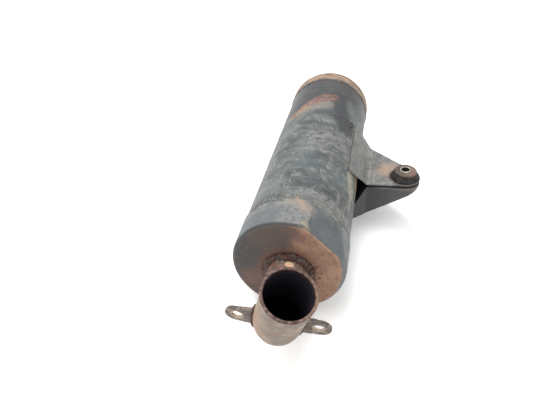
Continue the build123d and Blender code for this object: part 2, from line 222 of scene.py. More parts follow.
def press_in(rows, depth, seed, size):
    """Moves points towards the can's axis by noise, never outwards."""
    flat = rows.reshape(-1, 3)
    push_in(flat, depth * np.clip(0.5 + rough(flat, size, seed), 0, 1.4))
    return flat.reshape(rows.shape)


def dent(rows, turn_degrees, y, width, length, depth):
    """Shallow round dent at an angle from straight up (towards +X) and a y."""
    flat = rows.reshape(-1, 3)
    ang = np.arctan2(flat[:, 0], flat[:, 2]) - math.radians(turn_degrees)
    ang = (ang + math.pi) % (2 * math.pi) - math.pi
    d2 = (ang * SHELL_R / width) ** 2 + ((flat[:, 1] - y) / length) ** 2
    push_in(flat, depth * np.exp(-d2))
    return flat.reshape(rows.shape)


def lathe(name, profile, origin, axis, count, body="muffler", jitter=0.0, size=2 * MM, seed=1):
    """Closed skin of revolution round any axis. profile is (radius, height along the axis)."""
    origin, axis = Vector(origin), Vector(axis).normalized()
    u = axis.orthogonal().normalized()
    v = axis.cross(u)
    turn = np.linspace(0, 2 * math.pi, count, endpoint=False)
    o, a, u, v = (np.array(w) for w in (origin, axis, u, v))
    rows = []
    for r, h in profile:
        rows.append(o + a * h + np.outer(np.cos(turn) * r, u) + np.outer(np.sin(turn) * r, v))
    rows = np.array(rows)
    if jitter:
        flat = rows.reshape(-1, 3)
        rel = flat - o
        radial = rel - np.outer(rel @ a, a)
        radial /= np.maximum(np.linalg.norm(radial, axis=1), 1e-9)[:, None]
        flat += radial * (jitter * rough(flat, size, seed))[:, None]
        flat += np.outer(jitter * 0.5 * rough(flat, size, seed + 7), a)
        rows = flat.reshape(rows.shape)
    return grid_object(name, rows, body)


def bead(name, path, out, side, width, height, pitch, seed, closed, lumps=0.6):
    """Weld bead along a path of points, with ripples, lumps and uneven toes.
    out and side are unit vectors at each point; the bead fills the corner between them."""
    path, out, side = (np.asarray(x, float) for x in (path, out, side))
    step = np.linalg.norm(np.diff(path, axis=0), axis=1)
    run = np.concatenate([[0], np.cumsum(step)])
    rng = np.random.default_rng(seed)
    wander = rng.random(8) * 6.28
    uneven = sum(np.sin(run / (3.1 * MM * (k + 1)) + wander[k]) / (k + 2) for k in range(4))
    w = width * (1 + 0.16 * uneven)
    h = height * (1 + 0.16 * np.roll(uneven, 5))
    section = 11
    rows = []
    for k in range(section + 1):
        t = k / section * math.pi / 2
        ripple = 1 + 0.2 * np.abs(np.sin(math.pi * (run - 0.35 * width * math.sin(2 * t)) / pitch)) - 0.1
        rows.append(
            path
            + out * (w * math.cos(t) * ripple)[:, None]
            + side * (h * math.sin(t) * ripple)[:, None]
        )
    rows.append(path - (out + side) * (0.4 * MM))
    rows = np.array(rows)
    flat = rows.reshape(-1, 3)
    shift = rough(flat, 1.6 * MM, seed) * lumps * MM
    flat += np.repeat(out[None], len(rows), 0).reshape(-1, 3) * shift[:, None]
    flat += np.repeat(side[None], len(rows), 0).reshape(-1, 3) * np.abs(shift)[:, None]
    rows = flat.reshape(rows.shape)
    if closed:
        return grid_object(name, rows)
    n, m = rows.shape[:2]
    faces = []
    for i in range(n):
        a, b = i * m, ((i + 1) % n) * m
        faces += [(a + j, a + j + 1, b + j + 1, b + j) for j in range(m - 1)]
    faces.append(tuple(i * m for i in range(n)))
    faces.append(tuple(i * m + m - 1 for i in range(n)))
    obj = new_object(name, rows.reshape(-1, 3), faces)
    outward(obj)
    return obj


def ring_bead(name, centre, radius, y, side, width, height, pitch, seed, lumps):
    """Bead round a circle that stands across the can's axis."""
    count = max(90, int(2 * math.pi * radius / (0.45 * MM)))
    turn = np.linspace(0, 2 * math.pi, count, endpoint=False)
    out = round_axis(1.0, 0.0, turn)
    path = np.array([centre[0], y, centre[1]]) + out * radius
    along = np.tile([0.0, side, 0.0], (count, 1))
    return bead(name, path, out, along, width, height, pitch, seed, True, lumps)


def softened(name, node, voxel, pits, pit_size, seed, smooth=2):
    """Finer copy of a CAD node: its edges are worn round and its skin is uneven."""
    source = frame["nodes"][node]
    mesh = source.data.copy()
    mesh.name = name
    bm = bmesh.new()
    bm.from_mesh(mesh)
    bmesh.ops.remove_doubles(bm, verts=bm.verts, dist=1e-6)
    bm.to_mesh(mesh)
    bm.free()
    if mesh.attributes.get("custom_normal"):
        mesh.attributes.remove(mesh.attributes["custom_normal"])
    obj = bpy.data.objects.new(name, mesh)
    scene.collection.objects.link(obj)
    remesh = obj.modifiers.new("remesh", "REMESH")
    remesh.mode = "VOXEL"
    remesh.voxel_size = voxel
    soften = obj.modifiers.new("soften", "SMOOTH")
    soften.factor = 0.5
    soften.iterations = smooth
    graph = bpy.context.evaluated_depsgraph_get()
    fine = bpy.data.meshes.new_from_object(obj.evaluated_get(graph))
    obj.modifiers.clear()
    obj.data = fine
    co = np.zeros(len(fine.vertices) * 3)
    no = np.zeros(len(fine.vertices) * 3)
    fine.vertices.foreach_get("co", co)
    fine.vertices.foreach_get("normal", no)
    co, no = co.reshape(-1, 3), no.reshape(-1, 3)
    shift = -pits * np.clip(rough(co, pit_size, seed) + 0.25, 0, 1)
    co += no * shift[:, None]
    fine.vertices.foreach_set("co", co.ravel())
    fine.update()
    fine.materials.clear()
    fine.shade_smooth()
    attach(obj, "muffler")
    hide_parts(node)
    return obj


# ---- material nodes


def linear(r, g, b):
    """Linear colour from display numbers 0 to 255."""
    out = []
    for c in (r, g, b):
        c /= 255
        out.append(c / 12.92 if c <= 0.04045 else ((c + 0.055) / 1.055) ** 2.4)
    return (*out, 1.0)


class Value:
    """A number or vector worked out by nodes, with arithmetic."""

    def __init__(self, paint, socket):
        self.paint, self.socket = paint, socket

    def _op(self, kind, *others):
        return self.paint.math(kind, self, *others)

    def __add__(self, o):
        return self._op("ADD", o)

    __radd__ = __add__

    def __sub__(self, o):
        return self._op("SUBTRACT", o)

    def __rsub__(self, o):
        return self.paint.math("SUBTRACT", o, self)

    def __mul__(self, o):
        return self._op("MULTIPLY", o)

    __rmul__ = __mul__

    def __truediv__(self, o):
        return self._op("DIVIDE", o)

    def max(self, o):
        return self._op("MAXIMUM", o)

    def min(self, o):
        return self._op("MINIMUM", o)

    def abs(self):
        return self._op("ABSOLUTE")

    def sqrt(self):
        return self._op("SQRT")

    def step(self, low, high):
        """0 below low, 1 above high, smooth between; low may be above high."""
        node = self.paint.node("ShaderNodeMapRange", interpolation_type="SMOOTHSTEP")
        self.paint.wire(node.inputs["Value"], self)
        flip = low > high
        node.inputs["From Min"].default_value = min(low, high)
        node.inputs["From Max"].default_value = max(low, high)
        node.inputs["To Min"].default_value = 1.0 if flip else 0.0
        node.inputs["To Max"].default_value = 0.0 if flip else 1.0
        return Value(self.paint, node.outputs["Result"])

    def fade(self, low, high):
        """step for a distance, with low and high in millimetres."""
        return self.step(low * MM, high * MM)


class Paint:
    """One material and the nodes in it. Places are in the row frame, in metres; sizes given to its
    functions are in millimetres, and colours are display numbers from 0 to 255."""

    def __init__(self, name):
        self.material = bpy.data.materials.new(name)
        self.material.use_nodes = True
        self.tree = self.material.node_tree
        self.tree.nodes.clear()
        self.shader = self.node("ShaderNodeBsdfPrincipled")
        output = self.node("ShaderNodeOutputMaterial")
        self.tree.links.new(self.shader.outputs[0], output.inputs[0])
        place = self.node("ShaderNodeTexCoord").outputs["Object"]
        split = self.node("ShaderNodeSeparateXYZ")
        self.tree.links.new(place, split.inputs[0])
        self.place = Value(self, place)
        self.x, self.y, self.z = (Value(self, s) for s in split.outputs)
        self.front = self.y - FRONT
        # Arc length on the can from straight up towards +X; its cut is underneath.
        self.around = self.math("ARCTAN2", self.x, self.z) * SHELL_R
        self.colour = None

    def node(self, kind, **props):
        node = self.tree.nodes.new(kind)
        for k, v in props.items():
            setattr(node, k, v)
        return node

    def wire(self, socket, value):
        if isinstance(value, Value):
            self.tree.links.new(value.socket, socket)
        elif value is not None:
            socket.default_value = value

    def math(self, kind, *values):
        node = self.node("ShaderNodeMath", operation=kind)
        for socket, v in zip(node.inputs, values):
            self.wire(socket, v)
        return Value(self, node.outputs[0])

    def vector(self, x, y, z=0.0):
        node = self.node("ShaderNodeCombineXYZ")
        for socket, v in zip(node.inputs, (x, y, z)):
            self.wire(socket, v)
        return Value(self, node.outputs[0])

    def noise(self, size, detail, roughness, shift=0.0, at=None, distortion=0.0):
        """Noise about 0.5, with features of that size; shift picks another stretch of it."""
        node = self.node("ShaderNodeTexNoise")
        at = self.place if at is None else at
        if shift:
            move = self.node("ShaderNodeVectorMath", operation="ADD")
            self.wire(move.inputs[0], at)
            move.inputs[1].default_value = (shift, 0.37 * shift, -0.61 * shift)
            at = Value(self, move.outputs[0])
        self.wire(node.inputs["Vector"], at)
        node.inputs["Scale"].default_value = 1 / (size * MM)
        node.inputs["Detail"].default_value = detail
        node.inputs["Roughness"].default_value = roughness
        node.inputs["Distortion"].default_value = distortion
        return Value(self, node.outputs[0])

    def cells(self, size, at=None):
        """Distance to the nearest scattered point, in cells."""
        node = self.node("ShaderNodeTexVoronoi")
        self.wire(node.inputs["Vector"], self.place if at is None else at)
        node.inputs["Scale"].default_value = 1 / (size * MM)
        node.inputs["Randomness"].default_value = 1.0
        return Value(self, node.outputs["Distance"])

    def spot(self, centre, radius, edge, ragged=0.0, ragged_size=3, squash=(1, 1, 1)):
        """1 near a point in the row frame and 0 away from it, with a ragged edge."""
        dx = (self.x - centre[0]) / squash[0]
        dy = (self.y - centre[1]) / squash[1]
        dz = (self.z - centre[2]) / squash[2]
        d = (dx * dx + dy * dy + dz * dz).sqrt() / (radius * MM)
        if ragged:
            d = d + (self.noise(ragged_size, 4, 0.6) - 0.5) * ragged
        return d.step(1.0 + edge, 1.0 - edge)

    def streak(self, start, end, width, ragged, ragged_size):
        """1 along a line on the can's skin, with a ragged edge. start and end are degrees from
        straight up and the distance from the front."""
        s0, s1 = (math.radians(p[0]) * SHELL_R for p in (start, end))
        y0, y1 = start[1] * MM, end[1] * MM
        length = math.hypot(s1 - s0, y1 - y0)
        ux, uy = (s1 - s0) / length, (y1 - y0) / length
        s, y = self.around - s0, self.front - y0
        along = s * ux + y * uy
        across = (s * -uy + y * ux).abs()
        beyond = (along * -1.0).max(along - length).max(0.0)
        d = (across * across + beyond * beyond).sqrt() / (width * MM)
        d = d + (self.noise(ragged_size, 4, 0.65) - 0.5) * ragged
        return d.step(1.3, 0.5)

    def mix(self, a, b, share):
        """Colour a turning to colour b as share goes from 0 to 1."""
        node = self.node("ShaderNodeMix", data_type="RGBA")
        for socket, value in zip((node.inputs[0], *node.inputs[6:8]), (share, a, b)):
            self.wire(socket, linear(*value) if isinstance(value, tuple) else value)
        return Value(self, node.outputs[2])

    def coat(self, colour, share):
        """Lays a colour over the paint so far, as strongly as share says."""
        self.colour = self.mix(self.colour, colour, share)

    def finish(self, roughness, height=None, depth=0.1, metallic=None, specular=0.4):
        """Ends the material; depth is the relief's, where height goes from 0 to 1."""
        self.wire(self.shader.inputs["Base Color"], self.colour)
        self.wire(self.shader.inputs["Roughness"], roughness)
        if metallic is not None:
            self.wire(self.shader.inputs["Metallic"], metallic)
        self.shader.inputs["Specular IOR Level"].default_value = specular
        if height is not None:
            bump = self.node("ShaderNodeBump")
            bump.inputs["Strength"].default_value = 1.0
            bump.inputs["Distance"].default_value = depth * MM
            self.wire(bump.inputs["Height"], height)
            self.tree.links.new(bump.outputs[0], self.shader.inputs["Normal"])
        return self.material


def rust_colour(p, size, shift=0.0):
    """Mottled rust, from dark red-brown to orange."""
    a = p.noise(size, 5, 0.65, shift)
    b = p.noise(size * 3, 3, 0.5, shift + 0.3)
    c = p.mix((72, 36, 24), (126, 72, 44), a.step(0.35, 0.65))
    return p.mix(c, (176, 118, 76), (a * b).step(0.27, 0.42))


# ---- materials


def old_paint(p, light=1.0):
    """Faded black paint: grey with cloudy, scratched and speckled places; light is how strongly its
    pale marks show. Returns its relief and where it is worn."""
    skin = p.vector(p.around, p.y)
    cloud = p.noise(34, 4, 0.6)
    patch = p.noise(9, 5, 0.62, 0.2)
    grain = p.noise(1.6, 4, 0.7, 0.5)
    hoops = p.noise(26, 4, 0.6, at=p.vector(p.around / 5, p.y * 2.2), distortion=0.4)
    runs = p.noise(5, 3, 0.6, at=p.vector(p.around * 1.4, p.y / 9), shift=0.8)
    p.colour = p.mix((70, 73, 75), (104, 107, 105), (cloud * 0.55 + hoops * 0.5).step(0.4, 0.66))
    p.coat((78, 90, 92), p.noise(48, 2, 0.5, 1.4).step(0.45, 0.7) * 0.6)
    p.coat((136, 135, 128), patch.step(0.5, 0.68) * 0.55 * light)
    p.coat((62, 66, 67), patch.step(0.46, 0.32) * 0.35)
    pepper = p.noise(1.3, 3, 0.75, at=p.vector(p.around / 1.6, p.y), shift=5.9).step(0.44, 0.34)
    peppered = p.noise(17, 4, 0.65, 5.1).step(0.42, 0.58)
    p.coat((48, 50, 50), pepper * peppered * 0.8)
    p.coat((124, 122, 114), runs.step(0.58, 0.74) * 0.35)
    scuff = p.noise(14, 5, 0.75, at=skin, shift=2.2).step(0.56, 0.66)
    fine = p.noise(2.4, 3, 0.7, at=p.vector(p.around / 3.5, p.y * 1.6), shift=3.1).step(0.56, 0.68)
    p.coat((158, 157, 150), scuff * fine * 0.55 * light)
    p.coat((44, 45, 45), grain.step(0.44, 0.3) * 0.6)
    p.coat((140, 140, 134), grain.step(0.58, 0.72) * 0.45)
    chips = p.cells(4.2, at=skin)
    cluster = p.noise(22, 3, 0.6, 4.4).step(0.5, 0.66)
    chip = (chips + (grain - 0.5) * 0.5).step(0.3, 0.16) * cluster
    p.coat((40, 41, 40), chip * 0.75)
    slanted = p.vector(p.around * 0.9 + p.y * 0.35, p.y / 9)
    scratch = p.noise(1.5, 2, 0.6, at=slanted, shift=3.7).step(0.6, 0.66)
    p.coat((146, 146, 140), scratch * p.noise(20, 3, 0.6, 3.9).step(0.5, 0.6) * 0.45)
    height = patch * 0.35 + grain * 0.3 - chip * 0.5 + scuff * fine * 0.2
    return height, scuff * fine


def patch_of(p):
    """Broken patches, for marks that aren't even."""
    return p.noise(4.5, 5, 0.72, 5.5).step(0.4, 0.58)


def shell_paint():
    p = Paint("faded_black_paint")
    height, worn = old_paint(p)
    # Bands where the paint has gone dark and pitted.
    around = p.around
    wobble = (p.noise(18, 3, 0.6, 6) - 0.5) * 14 * MM
    line_a = (p.front + wobble - 52 * MM).abs().fade(9, 2) * around.fade(-22, -4)
    line_b = (p.front + wobble - 160 * MM).abs().fade(20, 6) * around.fade(-16, 0)
    lines = line_a + line_b
    flakes = p.noise(2.6, 4, 0.75, at=p.vector(around / 2.4, p.y), shift=7.7).step(0.5, 0.6)
    p.coat((42, 44, 44), lines.min(1.0) * flakes * 0.8)
    p.coat((150, 150, 146), lines.min(1.0) * (1.0 - flakes) * 0.3)
    # Darker, glossier paint behind the rust streak and along the top right near the rear.
    behind = (p.front - around * 0.42 + wobble * 0.5).fade(240, 262)
    right = p.streak((17, 262), (36, 196), 13, 0.7, 12)
    p.coat((52, 52, 55), behind * 0.8)
    p.coat((46, 47, 51), right * 0.8)
    # Rust streak across the top near the rear.
    streak = p.streak((-36, 224), (8, 260), 11.5, 1.9, 9)
    heart = p.streak((-24, 238), (6, 257), 7.5, 1.8, 5)
    broken = p.noise(6, 5, 0.74, 8.6).step(0.36, 0.56)
    p.coat(p.mix(rust_colour(p, 3), (124, 98, 90), 0.65), streak * broken * 0.8)
    p.coat((152, 116, 108), heart * p.noise(3.4, 4, 0.7, 8.1).step(0.47, 0.6) * 0.7)
    tail = p.streak((-40, 220), (-24, 233), 6.5, 1.6, 5)
    p.coat((150, 124, 100), tail * p.noise(4, 4, 0.7, 8.9).step(0.4, 0.56) * 0.7)
    thread = p.noise(2.2, 3, 0.6, at=p.vector(around / 5, p.y * 1.4 - around * 0.9), shift=9.9)
    p.coat((92, 92, 92), streak * thread.step(0.54, 0.62) * 0.7)
    dust = p.streak((-30, 222), (6, 238), 8, 1.0, 9)
    p.coat((138, 126, 114), dust * 0.4)
    # Tan spot that reaches under the cap's skirt, and pale runs on the right.
    tan = p.streak((1, 38), (9, 28), 3.2, 1.2, 3)
    p.coat((190, 162, 134), tan * 0.85)
    side = (around - 58 * MM).abs().fade(11, 3) * p.front.fade(150, 120)
    runs = p.noise(4, 4, 0.6, at=p.vector(around * 1.2, p.y / 7), shift=9.3).step(0.5, 0.64)
    p.coat((160, 157, 138), side * runs * 0.5)
    stain = p.streak((72, 140), (86, 122), 9, 1.6, 6)
    p.coat((158, 136, 106), stain * 0.75)
    p.coat((92, 82, 96), p.streak((84, 150), (92, 128), 4, 1.4, 4) * 0.4)
    pale = p.streak((55, 130), (66, 96), 8, 1.6, 8)
    p.coat((156, 151, 136), pale * (patch_of(p) * 0.6 + 0.3))
    # Grime at the front lap, rust at the rear lap and on the underside.
    lap = (p.front - 38 * MM).fade(7, 0) * p.noise(3, 4, 0.7, 10.2).step(0.46, 0.62)
    rear = (p.y - REAR_SKIRT).fade(-9, 0) * p.noise(4, 4, 0.7, 11.4).step(0.42, 0.6)
    p.coat((120, 106, 92), lap * 0.6)
    p.coat(rust_colour(p, 2.5, 1), rear * 0.55)
    under = p.z.step(-0.25 * SHELL_R, -0.95 * SHELL_R)
    patchy = p.noise(16, 5, 0.7, 12.5).step(0.44, 0.6)
    p.coat(rust_colour(p, 5, 2), under * patchy * 0.75)
    scale = p.noise(1.2, 4, 0.7, 13.1)
    height = height + streak * scale * 0.8 + lines * flakes * -0.35
    return p.finish(0.56 + streak * 0.3 + worn * 0.1 - behind * 0.08, height, 0.24, specular=0.3)


def front_face(p, fine):
    """The cap's flat face: charcoal on the left, brown surface rust on the right and round the pipe.
    Returns its pits and the crust round the pipe."""
    wobble = p.noise(22, 4, 0.6, 21)
    charcoal = p.mix((58, 57, 57), (72, 68, 66), fine.step(0.3, 0.7))
    brown = p.mix((122, 92, 76), (146, 115, 96), wobble.step(0.38, 0.62))
    brown = p.mix(brown, (106, 82, 74), p.noise(9, 3, 0.5, 23).step(0.5, 0.66) * 0.6)
    share = (p.x + (wobble - 0.5) * 30 * MM + (fine - 0.5) * 4 * MM).fade(-10, 9)
    dim = p.mix(charcoal, (82, 66, 60), (p.z * -1.0 + (wobble - 0.5) * 20 * MM).fade(14, 34) * 0.7)
    p.colour = p.mix(dim, brown, share)
    dx, dz = p.x - 1 * MM, p.z + 3.8 * MM
    reach = (dx * dx + dz * dz).sqrt() + (fine - 0.5) * 5 * MM
    halo = reach.fade(36, 24)
    p.coat((110, 72, 60), halo * 0.7)
    scorch = reach.fade(27, 22.5)
    p.coat((62, 34, 28), scorch * 0.8)
    blush = p.spot((-34 * MM, FRONT, -18 * MM), 11, 0.6, 1.6, 7)
    p.coat((112, 80, 68), blush * 0.5)
    smear = p.spot((-14 * MM, FRONT, 34 * MM), 20, 0.6, 1.4, 11)
    p.coat((92, 76, 70), smear * 0.6)
    flakes = p.spot((18 * MM, FRONT, 12 * MM), 11, 0.5, 1.6, 5) * fine.step(0.46, 0.56)
    p.coat((58, 36, 30), flakes * 0.7)
    pits = p.cells(3.4)
    pit_zone = p.spot((25 * MM, FRONT, 2 * MM), 12, 0.5)
    pitted = pit_zone * 0.9 + p.noise(12, 2, 0.5, 24).step(0.6, 0.7) * 0.6
    pit = (pits + (fine - 0.5) * 0.3).step(0.24, 0.12) * pitted
    p.coat((52, 32, 24), pit.min(1.0) * 0.85)
    p.coat((112, 98, 84), fine.step(0.64, 0.74) * 0.4)
    flecks = (p.cells(5.5) + (fine - 0.5) * 0.2).step(0.09, 0.05)
    p.coat((160, 146, 134), flecks * 0.6)
    return pit, halo


def front_cap_paint():
    p = Paint("front_cap_paint")
    height, worn = old_paint(p, 0.8)
    around = p.around
    # Skirt: smoother and bluer than the shell, dark on the facet, with a scuffed lap.
    smooth_zone = p.front.fade(28, 16)
    p.coat((92, 96, 100), smooth_zone * 0.6)
    ragged = (p.noise(4, 4, 0.7, 19) - 0.5) * 5 * MM
    chord = (around + ragged).fade(15.6, 17.4) * around.fade(66, 58) * p.front.fade(36, 32)
    scuffed = (around + ragged * 2).fade(-16, -4) * (around + ragged).fade(17.4, 15.6)
    pale = p.noise(3.2, 5, 0.78, 19.5).step(0.4, 0.62)
    p.coat((138, 137, 131), scuffed * pale * 0.6)
    p.coat((76, 80, 83), chord * (0.3 + patch_of(p) * 0.35))
    crease = (around + ragged * 0.3 - 17 * MM).abs().fade(1.6, 0.5) * p.front.fade(34, 28)
    p.coat((60, 62, 64), crease * 0.45)
    lap = (p.front - 36 * MM).abs().fade(6, 1)
    marks = p.noise(2.5, 4, 0.7, at=p.vector(around / 3, p.y * 1.5), shift=20.1).step(0.48, 0.6)
    p.coat((156, 154, 146), lap * marks * 0.55)
    p.coat((54, 54, 52), lap * (1.0 - marks) * 0.4)
    tan = p.streak((3, 37), (9, 27), 3.6, 1.7, 3)
    p.coat((150, 128, 108), tan * 0.7)
    dust = p.streak((-3, 36), (14, 24), 8, 1.7, 5)
    p.coat((138, 126, 114), dust * 0.35)
    corner = p.streak((13, 7), (18, 2), 3.0, 1.6, 2.5)
    p.coat((150, 138, 116), corner * 0.6)
    # Shoulder: a dark band on the left, painted shade on the rounded edge together with dark paint, worn
    # to rust on the right.
    shoulder = p.front.fade(4.2, 2.6) * p.front.fade(0.05, 0.6)
    p.coat((40, 40, 40), shoulder * p.x.fade(30, 0) * 0.85)
    face = p.front.fade(1.5, 0.8)
    fine = p.noise(3.5, 5, 0.65, 22)
    skirt_colour = p.colour
    pit, halo = front_face(p, fine)
    p.colour = p.mix(skirt_colour, p.colour, face)
    # Edge of the face: rust worn bright along the chord and the rim.
    rim = p.front.fade(2.6, 0.8) * (p.x - 8 * MM + (fine - 0.5) * 16 * MM).fade(0, 14)
    p.coat((150, 118, 92), rim * 0.6 * fine.step(0.4, 0.6))
    chord_edge = p.x.fade(6, 14) * p.z.fade(-8, 4) * p.front.fade(2.4, 1.2) * p.front.fade(0.2, 0.8)
    p.coat((150, 116, 92), chord_edge * fine.step(0.36, 0.5) * 0.7)
    under = p.z.step(-0.3 * SHELL_R, -0.95 * SHELL_R) * (1.0 - face)
    p.coat(rust_colour(p, 5, 3), under * p.noise(12, 5, 0.7, 25).step(0.42, 0.6) * 0.75)
    height = height + pit * -0.9 + halo * fine * 0.8 + face * fine * 0.4
    return p.finish(0.58 + face * 0.12 - chord * 0.1 + worn * 0.05, height, 0.2)


def rear_cap_paint():
    p = Paint("rusted_rear_cap")
    end = p.y.step(REAR - 5 * MM, REAR - 2 * MM)
    a = p.noise(7, 5, 0.65, at=p.vector(p.around / 1.8, p.y, p.z * 0.2)) * (1.0 - end)
    a = a + p.noise(9, 5, 0.68, 34) * end
    b = p.noise(2.2, 4, 0.7, 31)
    p.colour = p.mix((112, 92, 76), (156, 134, 114), a.step(0.36, 0.62))
    p.coat((120, 78, 60), b.step(0.55, 0.66) * 0.5)
    p.coat((140, 108, 102), p.noise(5, 3, 0.6, 32).step(0.56, 0.68) * 0.55)
    lines = p.noise(2, 3, 0.6, at=p.vector(p.around / 14, p.y * 1.1), shift=33.0)
    p.coat((92, 76, 62), lines.step(0.52, 0.62) * (1.0 - end) * 0.7)
    p.coat((172, 156, 138), lines.step(0.46, 0.38) * (1.0 - end) * 0.5)
    p.coat((98, 74, 60), p.noise(12, 5, 0.7, 35).step(0.48, 0.6) * end * 0.6)
    rim = p.y.step(REAR - 6.5 * MM, REAR - 2.5 * MM)
    p.coat((84, 66, 52), rim * 0.75)
    lap = (p.y - REAR_SKIRT).fade(2.4, 0.4)
    p.coat((96, 66, 48), lap * b.step(0.35, 0.55) * 0.7)
    soot = p.spot((0, REAR, 0), 30, 0.5, 0.6, 8)
    p.coat((44, 38, 34), soot * 0.8)
    side = p.around.abs().fade(60, 110)
    p.coat((84, 76, 68), side * a.step(0.4, 0.56) * 0.7)
    return p.finish(0.68 + (b - 0.5) * 0.3, a * 0.5 + b * 0.7, 0.22)


def ear_places(reach):
    """Each ear's hole, and its root that far towards the pipe in millimetres."""
    for name, side in (("left_lug_hole", -1), ("right_lug_hole", 1)):
        hole = Vector(mounts[name]["pos_m"])
        yield hole, (hole.x - side * reach * MM, hole.y, hole.z)


def pipe_steel():
    p = Paint("stained_pipe_steel")
    a = p.noise(13, 4, 0.6, distortion=0.3)
    b = p.noise(3, 5, 0.65, 41)
    c = p.noise(0.9, 3, 0.6, 42)
    p.colour = p.mix((104, 93, 82), (132, 118, 102), a.step(0.36, 0.64))
    # Left side: orange rust with a painted highlight from the left.
    left_rust_and_highlight = (p.x + (a - 0.5) * 18 * MM).fade(2, -16)
    p.coat((152, 110, 82), left_rust_and_highlight * 0.8)
    # Lower down on that side: painted shade in rust brown, broken up by noise.
    low = (p.z + (a - 0.5) * 14 * MM).fade(4, -16) * left_rust_and_highlight
    p.coat((112, 70, 48), low * b.step(0.36, 0.56) * 0.8)
    # Rust round the ears' roots, and the dark, scaly run next to the can.
    for _hole, root in ear_places(14):
        p.coat((164, 112, 76), p.spot(root, 12, 0.4, 1.2, 5) * 0.9)
        p.coat((70, 40, 28), p.spot(root, 6, 0.3, 1.2, 3) * b.step(0.42, 0.56) * 0.8)
    near = p.front.fade(-40, -22)
    grimy = p.mix((60, 55, 52), (112, 104, 95), b.step(0.38, 0.62))
    grimy = p.mix(grimy, rust_colour(p, 3, 4), p.noise(7, 3, 0.6, 43).step(0.48, 0.62) * 0.7)
    p.coat(grimy, near)
    # Bright tan spot on the pipe's top next to the cap: a painted highlight on pale tan steel.
    tan = p.spot((3 * MM, FRONT - 10 * MM, 16.5 * MM), 4.5, 0.35, 1.1, 2.5)
    p.coat((206, 168, 136), tan * 0.9)
    stains = p.noise(6, 5, 0.72, 45).step(0.5, 0.62)
    p.coat((124, 86, 68), stains * 0.6)
    spots = p.noise(4, 3, 0.6, 46).step(0.66, 0.72)
    p.coat((132, 78, 54), spots * 0.7)
    pits = p.cells(5.5)
    pit = (pits + (c - 0.5) * 0.3).step(0.16, 0.08) * p.noise(15, 2, 0.5, 44).step(0.46, 0.6)
    p.coat((60, 42, 32), pit * 0.8)
    collar = Vector(mounts["inlet"]["pos_m"])
    axis = Vector(mounts["inlet"]["axis"])
    depth = (p.x - collar.x) * axis.x + (p.y - collar.y) * axis.y + (p.z - collar.z) * axis.z
    p.coat((120, 104, 90), depth.fade(-7, -3.4) * b.step(0.4, 0.6) * 0.5)
    # Soot inside the bore.
    bore = inner_share(p)
    soot = p.mix((36, 35, 46), (60, 38, 34), b.step(0.52, 0.7))
    p.coat(soot, bore)
    height = b * 0.5 + c * 0.25 - pit * 0.9 + near * b * 0.9
    return p.finish(0.48 + b * 0.22 + near * 0.15, height, 0.18, specular=0.45)


def inner_share(p):
    """1 on faces that a point attribute marks as the inside of a tube."""
    node = p.node("ShaderNodeAttribute", attribute_name="inside")
    return Value(p, node.outputs["Fac"])


def mouth_steel():
    p = Paint("rusty_mouth_rim")
    a = p.noise(3.2, 5, 0.7)
    b = p.noise(1.3, 4, 0.7, 51)
    p.colour = p.mix((58, 40, 37), (118, 94, 86), a.step(0.4, 0.6))
    p.coat((134, 106, 86), p.x.fade(24, 34) * 0.5)
    p.coat((58, 34, 30), b.step(0.5, 0.62) * 0.75)
    bore = inner_share(p)
    p.coat((50, 26, 20), bore * 0.9)
    return p.finish(0.6 + (b - 0.5) * 0.3, a * 0.4 + b * 0.8, 0.16)


def weld_steel():
    p = Paint("rusty_weld")
    a = p.noise(2.4, 5, 0.7)
    p.colour = p.mix((34, 24, 22), (78, 44, 34), a.step(0.4, 0.56))
    p.coat((120, 84, 62), a.step(0.6, 0.7) * 0.7)
    # Grey patches: bare steel with painted metallic highlights.
    p.coat((92, 90, 86), p.noise(6, 3, 0.5, 61).step(0.52, 0.66) * 0.5)
    return p.finish(0.48 + a * 0.28, a, 0.3)


def seam_weld_steel():
    p = Paint("painted_seam_weld")
    height, _worn = old_paint(p)
    a = p.noise(2, 4, 0.7, 65)
    p.coat((126, 123, 116), a.step(0.52, 0.64) * 0.5)
    p.coat((48, 46, 44), a.step(0.56, 0.4) * 0.7)
    return p.finish(0.44 + a * 0.22, height + a, 0.2)


def lug_steel():
    p = Paint("stained_ear_steel")
    a = p.noise(5, 4, 0.6)
    b = p.noise(1.5, 4, 0.7, 71)
    p.colour = p.mix((74, 66, 60), (126, 115, 104), a.step(0.42, 0.6))
    p.coat((52, 42, 38), b.step(0.46, 0.36) * 0.6)
    p.coat((96, 68, 54), b.step(0.54, 0.66) * 0.55)
    for hole, root in ear_places(13):
        p.coat((70, 44, 34), p.spot(root, 8, 0.5, 0.9, 3) * 0.75)
        p.coat((168, 148, 126), p.spot(hole, 5.6, 0.12, 0.3, 2) * 0.75)
    return p.finish(0.55 + (b - 0.5) * 0.3, a * 0.4 + b * 0.6, 0.2, specular=0.45)


